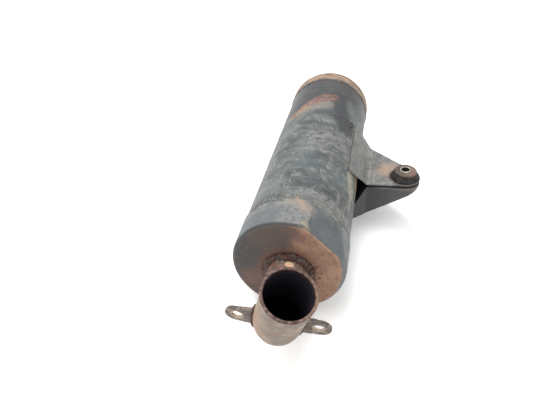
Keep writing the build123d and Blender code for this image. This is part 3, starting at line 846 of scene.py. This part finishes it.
def bracket_paint():
    p = Paint("bracket_paint")
    a = p.noise(14, 4, 0.6)
    b = p.noise(4, 5, 0.65, 81)
    c = p.noise(1.2, 4, 0.7, 82)
    runs = p.noise(6, 3, 0.6, at=p.vector(p.x * 2.2, p.y / 4, p.z), shift=83.0)
    p.colour = p.mix((86, 87, 87), (116, 116, 113), (a * 0.5 + b * 0.5).step(0.4, 0.6))
    p.coat((146, 145, 138), runs.step(0.54, 0.7) * 0.4)
    # Wear along the bend and where the plate flattens out.
    bend = (p.x - 63.5 * MM).abs().fade(3.5, 0.8) * b.step(0.42, 0.6)
    p.coat((160, 158, 148), bend * 0.5)
    # Darker in the pressed hollow, and tan rust between the bend and the bush.
    hollow = p.spot(HOLLOW, 10, 0.5, 0.9, 5, (0.8, 1.0, 1.4))
    p.coat((76, 78, 82), hollow * 0.6)
    rust = p.spot((87 * MM, bush.y + 12 * MM, bush.z), 14, 0.5, 1.1, 6)
    up = p.z.step(bush.z - 1.2 * MM, bush.z + 0.4 * MM)
    p.coat((152, 130, 112), rust * up * 0.75)
    dark = p.spot((90.5 * MM, bush.y - 1 * MM, bush.z + 3 * MM), 4, 0.4, 1.2, 2.5, (0.7, 1.6, 1.0))
    p.coat((64, 42, 34), dark * up * 0.9)
    lip = (p.y - (bush.y - 36 * MM)).abs().fade(3.5, 1.0) * up * b.step(0.4, 0.56)
    p.coat((138, 136, 130), lip * 0.45)
    ring = p.spot(bush, 19, 0.12, 0.25, 4)
    p.coat((62, 54, 48), ring * b.step(0.36, 0.56) * 0.55)
    rub = p.mix((48, 46, 45), (84, 80, 76), b.step(0.4, 0.6))
    # The lower pressing's wall below the plate: painted shade under the upper plate, darkest towards the
    # can, together with darker paint and a little mottled tone.
    low = p.z.step(bush.z - 3.4 * MM, bush.z - 4.6 * MM)
    shade = p.mix((38, 39, 41), (60, 60, 59), (p.x + (a - 0.5) * 20 * MM).fade(70, 118))
    p.coat(p.mix(shade, rub, 0.2), low * (0.9 + (b - 0.5) * 0.5))
    chips = (p.cells(3.2) + (c - 0.5) * 0.4).step(0.22, 0.1) * p.noise(12, 2, 0.5, 84).step(0.46, 0.6)
    p.coat((58, 46, 40), chips * 0.7)
    foot = (p.x * p.x + p.z * p.z).sqrt().step(SHELL_R + 5 * MM, SHELL_R + 1 * MM)
    p.coat((70, 62, 56), foot * b.step(0.4, 0.6) * 0.6)
    height = a * 0.2 + b * 0.4 + c * 0.3 - chips * 0.6
    return p.finish(0.52 + rust * 0.2, height, 0.18)


def bracket_weld_steel():
    p = Paint("bracket_weld")
    old_paint(p)
    a = p.noise(2.2, 4, 0.7)
    p.coat((64, 65, 65), a.step(0.46, 0.34) * 0.6)
    p.coat((140, 136, 126), p.noise(5, 4, 0.6, 91).step(0.56, 0.66) * 0.6)
    p.coat((98, 76, 62), p.noise(7, 3, 0.6, 92).step(0.54, 0.68) * 0.5)
    return p.finish(0.44 + a * 0.22, a, 0.25)


def housing_steel():
    p = Paint("bush_housing_steel")
    a = p.noise(3, 4, 0.65)
    p.colour = p.mix((78, 66, 58), (132, 108, 92), a.step(0.4, 0.6))
    return p.finish(0.5 + a * 0.2, a, 0.15)


def bush_rubber():
    p = Paint("aged_rubber")
    a = p.noise(4, 4, 0.6)
    b = p.noise(1, 3, 0.7, 101)
    p.colour = p.mix((28, 26, 25), (52, 48, 45), a.step(0.4, 0.62))
    top = p.z.step(bush.z + 10 * MM, bush.z + 12.2 * MM)
    dust = p.mix((112, 98, 88), (150, 122, 112), p.x.fade(100, 114))
    p.coat(dust, top * (0.5 + (b - 0.5) * 0.8))
    p.coat((84, 74, 66), b.step(0.6, 0.72) * 0.35)
    return p.finish(0.65 + a * 0.2, a * 0.3 + b * 0.5, 0.14, specular=0.3)


def collar_steel():
    p = Paint("worn_collar_steel")
    a = p.noise(2, 4, 0.6)
    p.colour = p.mix((118, 110, 100), (178, 170, 158), a.step(0.4, 0.6))
    p.coat((120, 96, 74), p.noise(3, 3, 0.6, 111).step(0.58, 0.68) * 0.6)
    # Painted shade inside the narrow bore.
    p.coat((24, 18, 15), inner_share(p) * 0.85)
    return p.finish(0.28 + a * 0.2, a, 0.05, metallic=0.35, specular=0.5)


def tail_steel():
    p = Paint("rusty_tail_steel")
    a = p.noise(5, 5, 0.65)
    b = p.noise(1.4, 4, 0.7, 121)
    p.colour = p.mix((86, 66, 54), (140, 106, 80), a.step(0.38, 0.62))
    p.coat((60, 44, 38), b.step(0.56, 0.68) * 0.6)
    p.coat((26, 22, 20), p.y.fade(-7, 0) * 0.5)
    p.coat((16, 14, 13), inner_share(p) * 0.9)
    return p.finish(0.5 + b * 0.24, a * 0.4 + b * 0.7, 0.2)


def sooty_steel(name, light, dark):
    p = Paint(name)
    a = p.noise(6, 5, 0.6)
    p.colour = p.mix(dark, light, a.step(0.4, 0.62))
    p.coat((58, 34, 24), p.noise(11, 3, 0.6, 131).step(0.55, 0.7) * 0.6)
    return p.finish(0.6 + (a - 0.5) * 0.3, a, 0.12)


def packing_wool():
    p = Paint("glass_wool")
    a = p.noise(9, 4, 0.6, distortion=1.2)
    strand = p.noise(0.8, 3, 0.7, at=p.vector(p.x, p.y * 0.2, p.z), distortion=2.0)
    p.colour = p.mix((150, 140, 112), (206, 198, 172), (a * 0.5 + strand * 0.5).step(0.38, 0.62))
    return p.finish(0.85 + strand * 0.2, strand, 0.4, specular=0.1)


MATERIALS = {
    make.__name__: make()
    for make in (
        shell_paint,
        front_cap_paint,
        rear_cap_paint,
        seam_weld_steel,
        pipe_steel,
        mouth_steel,
        weld_steel,
        lug_steel,
        bracket_paint,
        bracket_weld_steel,
        housing_steel,
        bush_rubber,
        collar_steel,
        packing_wool,
        tail_steel,
    )
}
MATERIALS["inner_steel"] = sooty_steel("sooty_inner_steel", (96, 84, 74), (48, 42, 38))
MATERIALS["core_steel"] = sooty_steel("sooty_core_steel", (34, 28, 25), (14, 12, 12))


def dress(obj, slot):
    """Gives a piece the material of a slot."""
    obj.data.materials.clear()
    obj.data.materials.append(MATERIALS[slot])


def mark_inside(obj, test):
    """Point attribute that is 1 where test, a function of the points, is true."""
    co = np.zeros(len(obj.data.vertices) * 3)
    obj.data.vertices.foreach_get("co", co)
    attribute = obj.data.attributes.new("inside", "FLOAT", "POINT")
    attribute.data.foreach_set("value", test(co.reshape(-1, 3)).astype(np.float32))


def off_axis(co, origin, axis):
    """Distances of points from a line."""
    rel = co - np.array(origin)
    axis = np.array(axis)
    return np.linalg.norm(rel - np.outer(rel @ axis, axis), axis=1)


for row in frame["record"]["subparts"]:
    cad = frame["nodes"][row["node"]]
    for k in range(len(cad.material_slots)):
        cad.material_slots[k].material = MATERIALS[row["material_slot"]]


# ---- the can

CAN_COLUMNS = 400
SHELL_ROWS = 225
LIP_R = 0.48 * MM
LIP_IN = 0.6 * MM
LIP_BACK = 0.5 * MM
turn = np.linspace(0, 2 * math.pi, CAN_COLUMNS, endpoint=False)
stub_low, stub_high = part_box("inlet_stub")
STUB = ((stub_low.x + stub_high.x) / 2, (stub_low.z + stub_high.z) / 2)
PIPE_R = (stub_high.x - stub_low.x) / 2
BORE_R = mounts["inlet"]["dims"]["r_mm"] * MM

# Front cap: face from the pipe's hole out to the shoulder, skirt, turned rear edge, inner skin.
shoulder = shoulder_rows(turn, SKIN_GAP, 14)
skirt = line((CAP_R - SKIN_GAP, FRONT + 10 * MM), (CAP_R - SKIN_GAP, SKIRT_END - LIP_BACK), 34)
edge = arc(CAP_R - LIP_IN, SKIRT_END - LIP_BACK, LIP_R, 0, 180, 6)
outer_rows = np.concatenate([shoulder, can_point_rows(skirt + edge, turn, 0.0)])
outer_rows = press_in(outer_rows, 0.35 * MM, 3, 16 * MM)
outer_rows = dent(outer_rows, -35, FRONT + 30 * MM, 13 * MM, 8 * MM, 0.7 * MM)
outer_rows = dent(outer_rows, 62, FRONT + 26 * MM, 9 * MM, 9 * MM, 0.5 * MM)
hole = round_axis(PIPE_R, FRONT, turn) + (STUB[0], 0, STUB[1])
face_rows = []
for t in np.linspace(0, 1, 34)[:-1]:
    points = hole * (1 - t) + outer_rows[0] * t
    swell = 0.35 * MM * math.exp(-((t / 0.16) ** 2))
    lift = 0.16 * MM * (0.5 + rough(points, 9 * MM, 5)) + swell
    points[:, 1] = FRONT + SKIN_GAP + np.clip(lift, 0, None) * (1 - t)
    face_rows.append(points)
inner = [(SHELL_R + 0.05 * MM, SKIRT_END - 2 * MM), (SHELL_R, FRONT + 20 * MM)]
inner.append((SHELL_R - 1 * MM, FRONT + 6 * MM))
inner_rows = can_point_rows(inner, turn, SHEET)
back_rows = can_point_rows([(CAP_R - SHOULDER - SHEET, FRONT + SHEET)], turn, SHEET)
hole_back = hole.copy()
hole_back[:, 1] = FRONT + SHEET
front_rows = np.concatenate([face_rows, outer_rows, inner_rows, back_rows, [hole_back]])
front_skin = grid_object("front_cap_skin", front_rows)
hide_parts("front_cap")
dress(front_skin, "front_cap_paint")

# Shell: fine outer skin with shallow dents, plain inside.
shell_y = np.linspace(shell_low.y, shell_high.y, SHELL_ROWS)
shell_outer = can_point_rows([(SHELL_R - SKIN_GAP / 2, y) for y in shell_y], turn)
shell_outer = press_in(shell_outer, 0.28 * MM, 11, 22 * MM)
for degrees, y, width, length, depth in (
    (-52, 118, 16, 26, 0.8),
    (18, 150, 12, 12, 0.5),
    (4, 60, 14, 9, 0.45),
    (-20, 232, 18, 9, 0.5),
    (70, 70, 12, 16, 0.6),
    (150, 140, 22, 20, 0.7),
    (-120, 220, 20, 18, 0.8),
):
    size = width * MM, length * MM, depth * MM
    shell_outer = dent(shell_outer, degrees, FRONT + y * MM, *size)
shell_y = np.linspace(shell_high.y, shell_low.y, 12)
shell_inner = can_point_rows([(SHELL_R - SHEET, y) for y in shell_y], turn)
shell_skin = grid_object("shell_skin", np.concatenate([shell_outer, shell_inner]))
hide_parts("body_shell")
dress(shell_skin, "shell_paint")

# Rear cap: skirt with a turned edge, shoulder, face with a pressed ring, hole for the tail pipe.
TAIL_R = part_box("tail_pipe")[1].x
TAIL_BORE = mounts["outlet"]["dims"]["r_mm"] * MM
edge = arc(CAP_R - LIP_IN, REAR_SKIRT + LIP_BACK, LIP_R, 180, 360, 6)
skirt = line(edge[-1], (CAP_R - SKIN_GAP, REAR - SHOULDER), 22)
shoulder = arc(CAP_R - SHOULDER, REAR - SHOULDER, SHOULDER - SKIN_GAP, 0, 90, 10)[1:]
face = []
for r in np.linspace(CAP_R - SHOULDER, TAIL_R, 40)[1:]:
    ring = 1.1 * MM * math.exp(-(((r - 35 * MM) / (3.2 * MM)) ** 2))
    face.append((r, REAR - SKIN_GAP - ring))
back = [(TAIL_R, REAR - SHEET), (CAP_R - SHOULDER - SHEET, REAR - SHEET)]
back.append((SHELL_R, REAR - SHOULDER - SHEET))
rear_rows = can_point_rows(edge + skirt + shoulder + face, turn)
rear_rows = press_in(rear_rows, 0.3 * MM, 17, 14 * MM)
rear_rows = dent(rear_rows, -25, REAR - 6 * MM, 12 * MM, 6 * MM, 0.5 * MM)
rear_skin = grid_object("rear_cap_skin", np.concatenate([rear_rows, can_point_rows(back, turn)]))
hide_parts("rear_cap")
dress(rear_skin, "rear_cap_paint")

# Welds round the can's axis and round the inlet pipe, each with its width, height and pitch.
AXIS = (0, 0)
SEAM = (1.1 * MM, 1.5 * MM, 3.4 * MM)
INLET_ROOT = (4.6 * MM, 4.6 * MM, 4.2 * MM)
TAIL_ROOT = (2.8 * MM, 2.8 * MM, 2.4 * MM)
SEAM_R = SHELL_R - 0.3 * MM
PIPE_WELD_R = PIPE_R - 0.2 * MM
TAIL_WELD_R = TAIL_R - 0.2 * MM
for name, node, slot, centre, radius, y, side, size, seed, lumps in (
    ("front_lap_weld", "front_seam_weld", "seam_weld_steel",
     AXIS, SEAM_R, SKIRT_END - 0.3 * MM, 1, SEAM, 21, 0.5),
    ("rear_lap_weld", "rear_seam_weld", "seam_weld_steel",
     AXIS, SEAM_R, REAR_SKIRT + 0.3 * MM, -1, SEAM, 22, 0.5),
    ("inlet_root_weld", "inlet_weld", "weld_steel",
     STUB, PIPE_WELD_R, FRONT + 0.2 * MM, -1, INLET_ROOT, 23, 1.5),
    ("tail_root_weld", "tail_weld", "weld_steel",
     AXIS, TAIL_WELD_R, REAR - 0.3 * MM, 1, TAIL_ROOT, 24, 1.2),
):
    weld = ring_bead(name, centre, radius, y, side, *size, seed, lumps)
    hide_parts(node)
    dress(weld, slot)

# Tail pipe with a worn rim.
tail_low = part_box("tail_pipe")[0]
wall = TAIL_R - TAIL_BORE
profile = [(TAIL_R, y) for y in np.linspace(tail_low.y, -0.8 * MM, 24)]
profile += arc(TAIL_R - wall / 2, -0.85 * MM, wall / 2 - 0.08 * MM, 0, 180, 8)
profile += [(TAIL_BORE, y) for y in np.linspace(-0.9 * MM, tail_low.y, 24)]
tail = lathe("tail_tube", profile, (0, 0, 0), (0, 1, 0), 160, jitter=0.14 * MM, size=4 * MM, seed=31)
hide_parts("tail_pipe")
mark_inside(tail, lambda co: np.hypot(co[:, 0], co[:, 2]) < TAIL_BORE + 0.25 * wall)
dress(tail, "tail_steel")


# ---- the inlet pipe

# The pipe's centre line: a straight stub, a bend and a straight riser up to the mouth ring.
STATION = 1.1 * MM
WRINKLE = 2.6 * MM
RING = 3 * MM
mouth = np.array(mounts["inlet"]["pos_m"])
mouth_axis = np.array(mounts["inlet"]["axis"])
mouth_axis /= np.linalg.norm(mouth_axis)
stub_axis = np.array([0.0, -1.0, 0.0])
stub_start = np.array([STUB[0], stub_high.y, STUB[1]])
bend_start = np.array([STUB[0], stub_low.y, STUB[1]])
bend_angle = math.acos(stub_axis @ mouth_axis)
across = mouth_axis - stub_axis * (stub_axis @ mouth_axis)
across /= np.linalg.norm(across)
span = mouth - bend_start
half_tan = math.tan(bend_angle / 2)
riser = span @ across - span @ stub_axis * half_tan
riser /= math.sin(bend_angle) - math.cos(bend_angle) * half_tan
corner = mouth - mouth_axis * riser
bend_radius = (corner - bend_start) @ across / (1 - math.cos(bend_angle))
centre = bend_start + across * bend_radius
stations = []
for d in np.arange(0, np.linalg.norm(bend_start - stub_start), STATION):
    stations.append((stub_start + stub_axis * d, stub_axis, 0.0))
steps = int(bend_radius * bend_angle / STATION)
for k in range(steps):
    a = bend_angle * k / steps
    direction = stub_axis * math.cos(a) + across * math.sin(a)
    point = centre - across * bend_radius * math.cos(a) + stub_axis * bend_radius * math.sin(a)
    stations.append((point, direction, math.sin(math.pi * k / steps)))
riser_length = riser - RING
for d in np.linspace(0, riser_length, int(riser_length / STATION) + 1):
    stations.append((corner + mouth_axis * d, mouth_axis, 0.0))
sideways = np.cross(stub_axis, across)
spin = np.linspace(0, 2 * math.pi, 160, endpoint=False)
outer, inner = [], []
for k, (point, direction, bent) in enumerate(stations):
    up = np.cross(sideways, direction)
    flat = 1 - 0.012 * bent
    wave = math.sin(k * STATION / WRINKLE * math.pi)
    wrinkle = 0.22 * MM * bent * np.clip(-np.cos(spin), 0, 1) ** 2 * wave
    circle = np.outer(np.cos(spin) * flat, up) + np.outer(np.sin(spin), sideways)
    radius = PIPE_R - 0.1 * MM - np.abs(wrinkle)
    ring = point + circle * radius[:, None]
    ring += circle * (0.22 * MM * rough(ring, 7 * MM, 41) - 0.06 * MM)[:, None]
    outer.append(ring)
    if k % 2 == 0 or k == len(stations) - 1:
        inner.append(point + circle * BORE_R)
tube = grid_object("inlet_tube", np.concatenate([outer, inner[::-1]]))
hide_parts("inlet_stub", "inlet_bend", "inlet_riser")
path_points = np.array([s[0] for s in stations])


def in_bore(co):
    """True for points nearer to the pipe's centre line than the middle of its wall."""
    out = np.zeros(len(co))
    for k in range(0, len(co), 4000):
        d = np.linalg.norm(co[k : k + 4000, None] - path_points[None], axis=2).min(1)
        out[k : k + 4000] = d < (BORE_R + PIPE_R) / 2
    return out


mark_inside(tube, in_bore)
dress(tube, "pipe_steel")

# Mouth ring: an uneven rolled rim that stands proud of the pipe.
ring_r = PIPE_R + 0.8 * MM
profile = [(BORE_R, -RING), (BORE_R, -1.4 * MM), (BORE_R, -0.7 * MM)]
profile += [(BORE_R + 0.3 * MM, -0.15 * MM), (BORE_R + 0.8 * MM, -0.05 * MM)]
profile.append((ring_r - 0.9 * MM, -0.05 * MM))
profile += arc(ring_r - 0.75 * MM, -0.8 * MM, 0.72 * MM, 80, -60, 9)
profile += [(ring_r - 0.5 * MM, -2.1 * MM), (PIPE_R + 0.1 * MM, -2.5 * MM)]
profile.append((PIPE_R - 0.1 * MM, -RING))
rim = lathe("mouth_rim", profile, mouth, mouth_axis, 200, jitter=0.26 * MM, size=3 * MM, seed=43)
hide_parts("mouth_ring")
mark_inside(rim, lambda co: off_axis(co, mouth, mouth_axis) < BORE_R + 0.25 * MM)
dress(rim, "mouth_steel")

# ---- ears, bracket and bush

FINE = 0.35 * MM
for side, seed in (("left", 51), ("right", 52)):
    ear = softened(f"{side}_ear", f"{side}_lug", FINE, 0.35 * MM, 2.6 * MM, seed, smooth=3)
    dress(ear, "lug_steel")
    weld_name = f"{side}_ear_weld"
    root = softened(weld_name, f"{side}_lug_weld", FINE, 1.1 * MM, 1.8 * MM, seed + 2)
    dress(root, "weld_steel")

upper = softened("bracket_upper_plate", "bracket_upper", 0.55 * MM, 0.3 * MM, 7 * MM, 61, smooth=3)
for vertex in upper.data.vertices:
    off_x = (vertex.co.x - HOLLOW[0]) / (8 * MM)
    off_y = (vertex.co.y - HOLLOW[1]) / (10 * MM)
    vertex.co.z -= 0.8 * MM * math.exp(-((off_x**2 + off_y**2) ** 2))
dress(upper, "bracket_paint")
lower = softened("bracket_lower_pressing", "bracket_lower", 0.6 * MM, 0.3 * MM, 8 * MM, 62, smooth=3)
dress(lower, "bracket_paint")

# Foot welds: the upper leg's line along the shell, four stray tacks, and the channel's two edges.
foot_low, foot_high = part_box("bracket_upper_weld")
foot_turn = math.atan2((foot_low.z + foot_high.z) / 2, (foot_low.x + foot_high.x) / 2)
FOOT_POINTS = 260
foot_y = np.linspace(foot_low.y - 0.5 * MM, foot_high.y + 1.0 * MM, FOOT_POINTS)
radial = np.array([math.cos(foot_turn), 0, math.sin(foot_turn)])
tangent = np.array([-math.sin(foot_turn), 0, math.cos(foot_turn)])
foot_path = radial * (SHELL_R - 0.2 * MM) + np.outer(foot_y, (0, 1, 0)) - tangent * (0.4 * MM)
out, side = (np.tile(v, (FOOT_POINTS, 1)) for v in (tangent, radial))
size = 1.7 * MM, 1.1 * MM, 4.5 * MM
foot = bead("bracket_foot_weld", foot_path, out, side, *size, 63, False)
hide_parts("bracket_upper_weld")
dress(foot, "bracket_weld_steel")
for k, (degrees, y) in enumerate(((46, 219), (49, 214), (46, 209), (50, 204))):
    swing = np.linspace(0, math.pi, 22)
    a = math.radians(90 - degrees) + 3.2 * MM / SHELL_R * np.cos(swing)
    along = FRONT + y * MM + 3.0 * MM * np.sin(swing)
    path = round_axis(SHELL_R - 0.4 * MM, along, a)
    out = round_axis(1.0, 0.0, a)
    along_can = np.tile([0.0, 1.0, 0.0], (len(a), 1))
    size = 1.1 * MM, 1.3 * MM, 3 * MM
    stray = bead(f"stray_weld_{k}", path, along_can, out, *size, 66 + k, False)
    dress(stray, "bracket_weld_steel")
for node, seed in (("channel_front_weld", 64), ("channel_rear_weld", 65)):
    piece = softened(f"{node}_bead", node, 0.4 * MM, 0.7 * MM, 2 * MM, seed)
    dress(piece, "bracket_weld_steel")

# Bush: rubber with rounded lips, pinched by the plates, and the steel collar in it.
RUBBER_BORE = 6.4 * MM
RUBBER_NECK = 12.0 * MM
COLLAR_BORE = 4.3 * MM
COLLAR_HALF = 13.5 * MM
PLATES_HALF = 3.5 * MM
rubber = [(RUBBER_BORE, -12.0 * MM), (6.9 * MM, -12.5 * MM)]
rubber += arc(10.6 * MM, -11.1 * MM, 1.4 * MM, -90, -20, 6)
rubber += line(rubber[-1], (14.3 * MM, -4.6 * MM), 8)
rubber += arc(14.0 * MM, -4.3 * MM, 0.7 * MM, -20, 90, 5)
rubber += [(RUBBER_NECK, h) for h in (-PLATES_HALF, 0.0, PLATES_HALF)]
rubber += arc(15.3 * MM, 4.35 * MM, 0.85 * MM, -90, 20, 6)
rubber += line(rubber[-1], (12.3 * MM, 10.9 * MM), 10)
rubber += arc(10.9 * MM, 10.9 * MM, 1.55 * MM, 10, 90, 6)
rubber += [(8.5 * MM, 12.3 * MM), (6.9 * MM, 12.45 * MM)]
rubber += [(6.45 * MM, 12.0 * MM), (RUBBER_BORE, 4.0 * MM)]
rubber_piece = lathe("bush_rubber", rubber, bush, bush_axis, 140, jitter=0.2 * MM, size=6 * MM, seed=71)
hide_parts("rubber_bush")
dress(rubber_piece, "bush_rubber")
collar = []
for h, sign in ((-COLLAR_HALF, -1), (COLLAR_HALF, 1)):
    lip = [(COLLAR_BORE, h - sign * 0.5 * MM), (4.8 * MM, h)]
    lip += [(5.8 * MM, h), (6.25 * MM, h - sign * 0.45 * MM)]
    collar += lip if sign < 0 else lip[::-1]
collar += [(COLLAR_BORE, h) for h in np.linspace(12 * MM, -12 * MM, 9)]
collar_piece = lathe(
    "collar_sleeve", collar, bush, bush_axis, 96, body="collar", jitter=0.05 * MM, seed=72
)
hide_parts("bush_collar")
mark_inside(collar_piece, lambda co: off_axis(co, bush, bush_axis) < COLLAR_BORE + 0.15 * MM)
dress(collar_piece, "collar_steel")

# ---- weld spatter

FACE_DROPS = 46
PIPE_DROPS = 34
rng = np.random.default_rng(81)
verts, faces = [], []


def scab(place, normal, size, height):
    """Adds one low, lumpy drop that sits on a surface."""
    place, normal = Vector(place), Vector(normal).normalized()
    u = normal.orthogonal().normalized()
    v = normal.cross(u)
    start = len(verts)
    rings, count = 4, 10
    stretch = 0.7 + 0.6 * rng.random()
    for i in range(rings):
        t = i / rings * math.pi / 2
        for j in range(count):
            a = 2 * math.pi * j / count
            r = size * math.cos(t) * (1 + 0.18 * (rng.random() - 0.5))
            h = height * math.sin(t) - 0.15 * MM * (i == 0)
            along_u, along_v = r * math.cos(a) * stretch, r * math.sin(a)
            verts.append(tuple(place + u * along_u + v * along_v + normal * h))
    verts.append(tuple(place + normal * height))

    def at(i, j):
        return start + i * count + j % count

    for i in range(rings - 1):
        for j in range(count):
            faces.append((at(i, j), at(i, j + 1), at(i + 1, j + 1), at(i + 1, j)))
    for j in range(count):
        faces.append((at(rings - 1, j), at(rings - 1, j + 1), at(rings, 0)))
    faces.append(tuple(at(0, j) for j in reversed(range(count))))


for _ in range(FACE_DROPS):
    a = rng.random() * 2 * math.pi
    if rng.random() < 0.55:
        a = rng.normal(0.1, 0.5)
    r = PIPE_R + 4.5 * MM + abs(rng.normal(0, 4.0)) * MM
    x, z = STUB[0] + r * math.cos(a), STUB[1] + r * math.sin(a)
    to_facet = x * math.cos(FACET_TURN) + z * math.sin(FACET_TURN)
    if math.hypot(x, z) < CAP_R - SHOULDER - 3 * MM and to_facet < FACET_DEPTH - 2 * MM:
        s = (0.35 + 0.5 * rng.random()) * MM
        scab((x, FRONT + 0.2 * MM, z), (0, -1, 0), s, 0.6 * s)
for _ in range(PIPE_DROPS):
    k = int(rng.integers(12, len(stations) - 8))
    point, direction, _bent = stations[k]
    a = rng.random() * 2 * math.pi
    up = np.cross(sideways, direction)
    normal = up * math.cos(a) + sideways * math.sin(a)
    s = (0.3 + 0.4 * rng.random()) * MM
    scab(point + normal * (PIPE_R - 0.2 * MM), normal, s, 0.5 * s)
spatter = new_object("weld_spatter", verts, faces)
outward(spatter)
dress(spatter, "weld_steel")

# ---- floor, light and camera


def stage_plane(name, size, z, colour, glow):
    mesh = bpy.data.meshes.new(name)
    h = size / 2
    mesh.from_pydata([(-h, -h, z), (h, -h, z), (h, h, z), (-h, h, z)], [], [(0, 1, 2, 3)])
    obj = bpy.data.objects.new(name, mesh)
    scene.collection.objects.link(obj)
    p = Paint(name + "_paint")
    p.colour = p.mix(colour, tuple(c - 2 for c in colour), p.noise(300, 2, 0.5))
    p.shader.inputs["Emission Color"].default_value = (1.0, 1.0, 1.0, 1.0)
    p.shader.inputs["Emission Strength"].default_value = glow
    obj.data.materials.append(p.finish(0.9, specular=0.1))


stage_plane("floor", 40.0, FLOOR_Z, (249, 249, 248), 0.2)


def area_light(name, place, target, size, power):
    data = bpy.data.lights.new(name, "AREA")
    data.shape = "RECTANGLE"
    data.size, data.size_y = size
    data.energy = power
    obj = bpy.data.objects.new(name, data)
    scene.collection.objects.link(obj)
    obj.location = place
    obj.rotation_mode = "QUATERNION"
    obj.rotation_quaternion = (Vector(place) - Vector(target)).to_track_quat("Z", "Y")


middle = (0.0, -0.22, 0.0)
area_light("key", (-0.45, 0.1, 2.0), middle, (1.1, 1.1), 32)
area_light("fill", (-0.9, -0.9, 1.5), middle, (1.6, 1.6), 14)

world = bpy.data.worlds.new("studio")
scene.world = world
world.use_nodes = True
background = world.node_tree.nodes["Background"]
background.inputs["Color"].default_value = (1.0, 1.0, 1.0, 1.0)
background.inputs["Strength"].default_value = 0.9

scene.view_settings.view_transform = "Standard"
scene.view_settings.look = "None"

EYE = (0.05039, -0.65481, 0.31285)
VIEW = (-0.16179, 0.76443, -0.62408)
VIEW_RIGHT = (0.97833, 0.20707, 0.0)
LENS = 30.33
SENSOR = 36.0
camera_data = bpy.data.cameras.new("camera")
camera_data.lens = LENS
camera_data.sensor_width = SENSOR
camera_data.sensor_fit = "HORIZONTAL"
camera_data.clip_start = 0.01
camera = bpy.data.objects.new("camera", camera_data)
scene.collection.objects.link(camera)
forward = Vector(VIEW).normalized()
right = Vector(VIEW_RIGHT).normalized()
upward = right.cross(forward)
turned = Matrix((right, upward, -forward)).transposed().to_4x4()
camera.matrix_world = Matrix.Translation(EYE) @ turned
scene.camera = camera
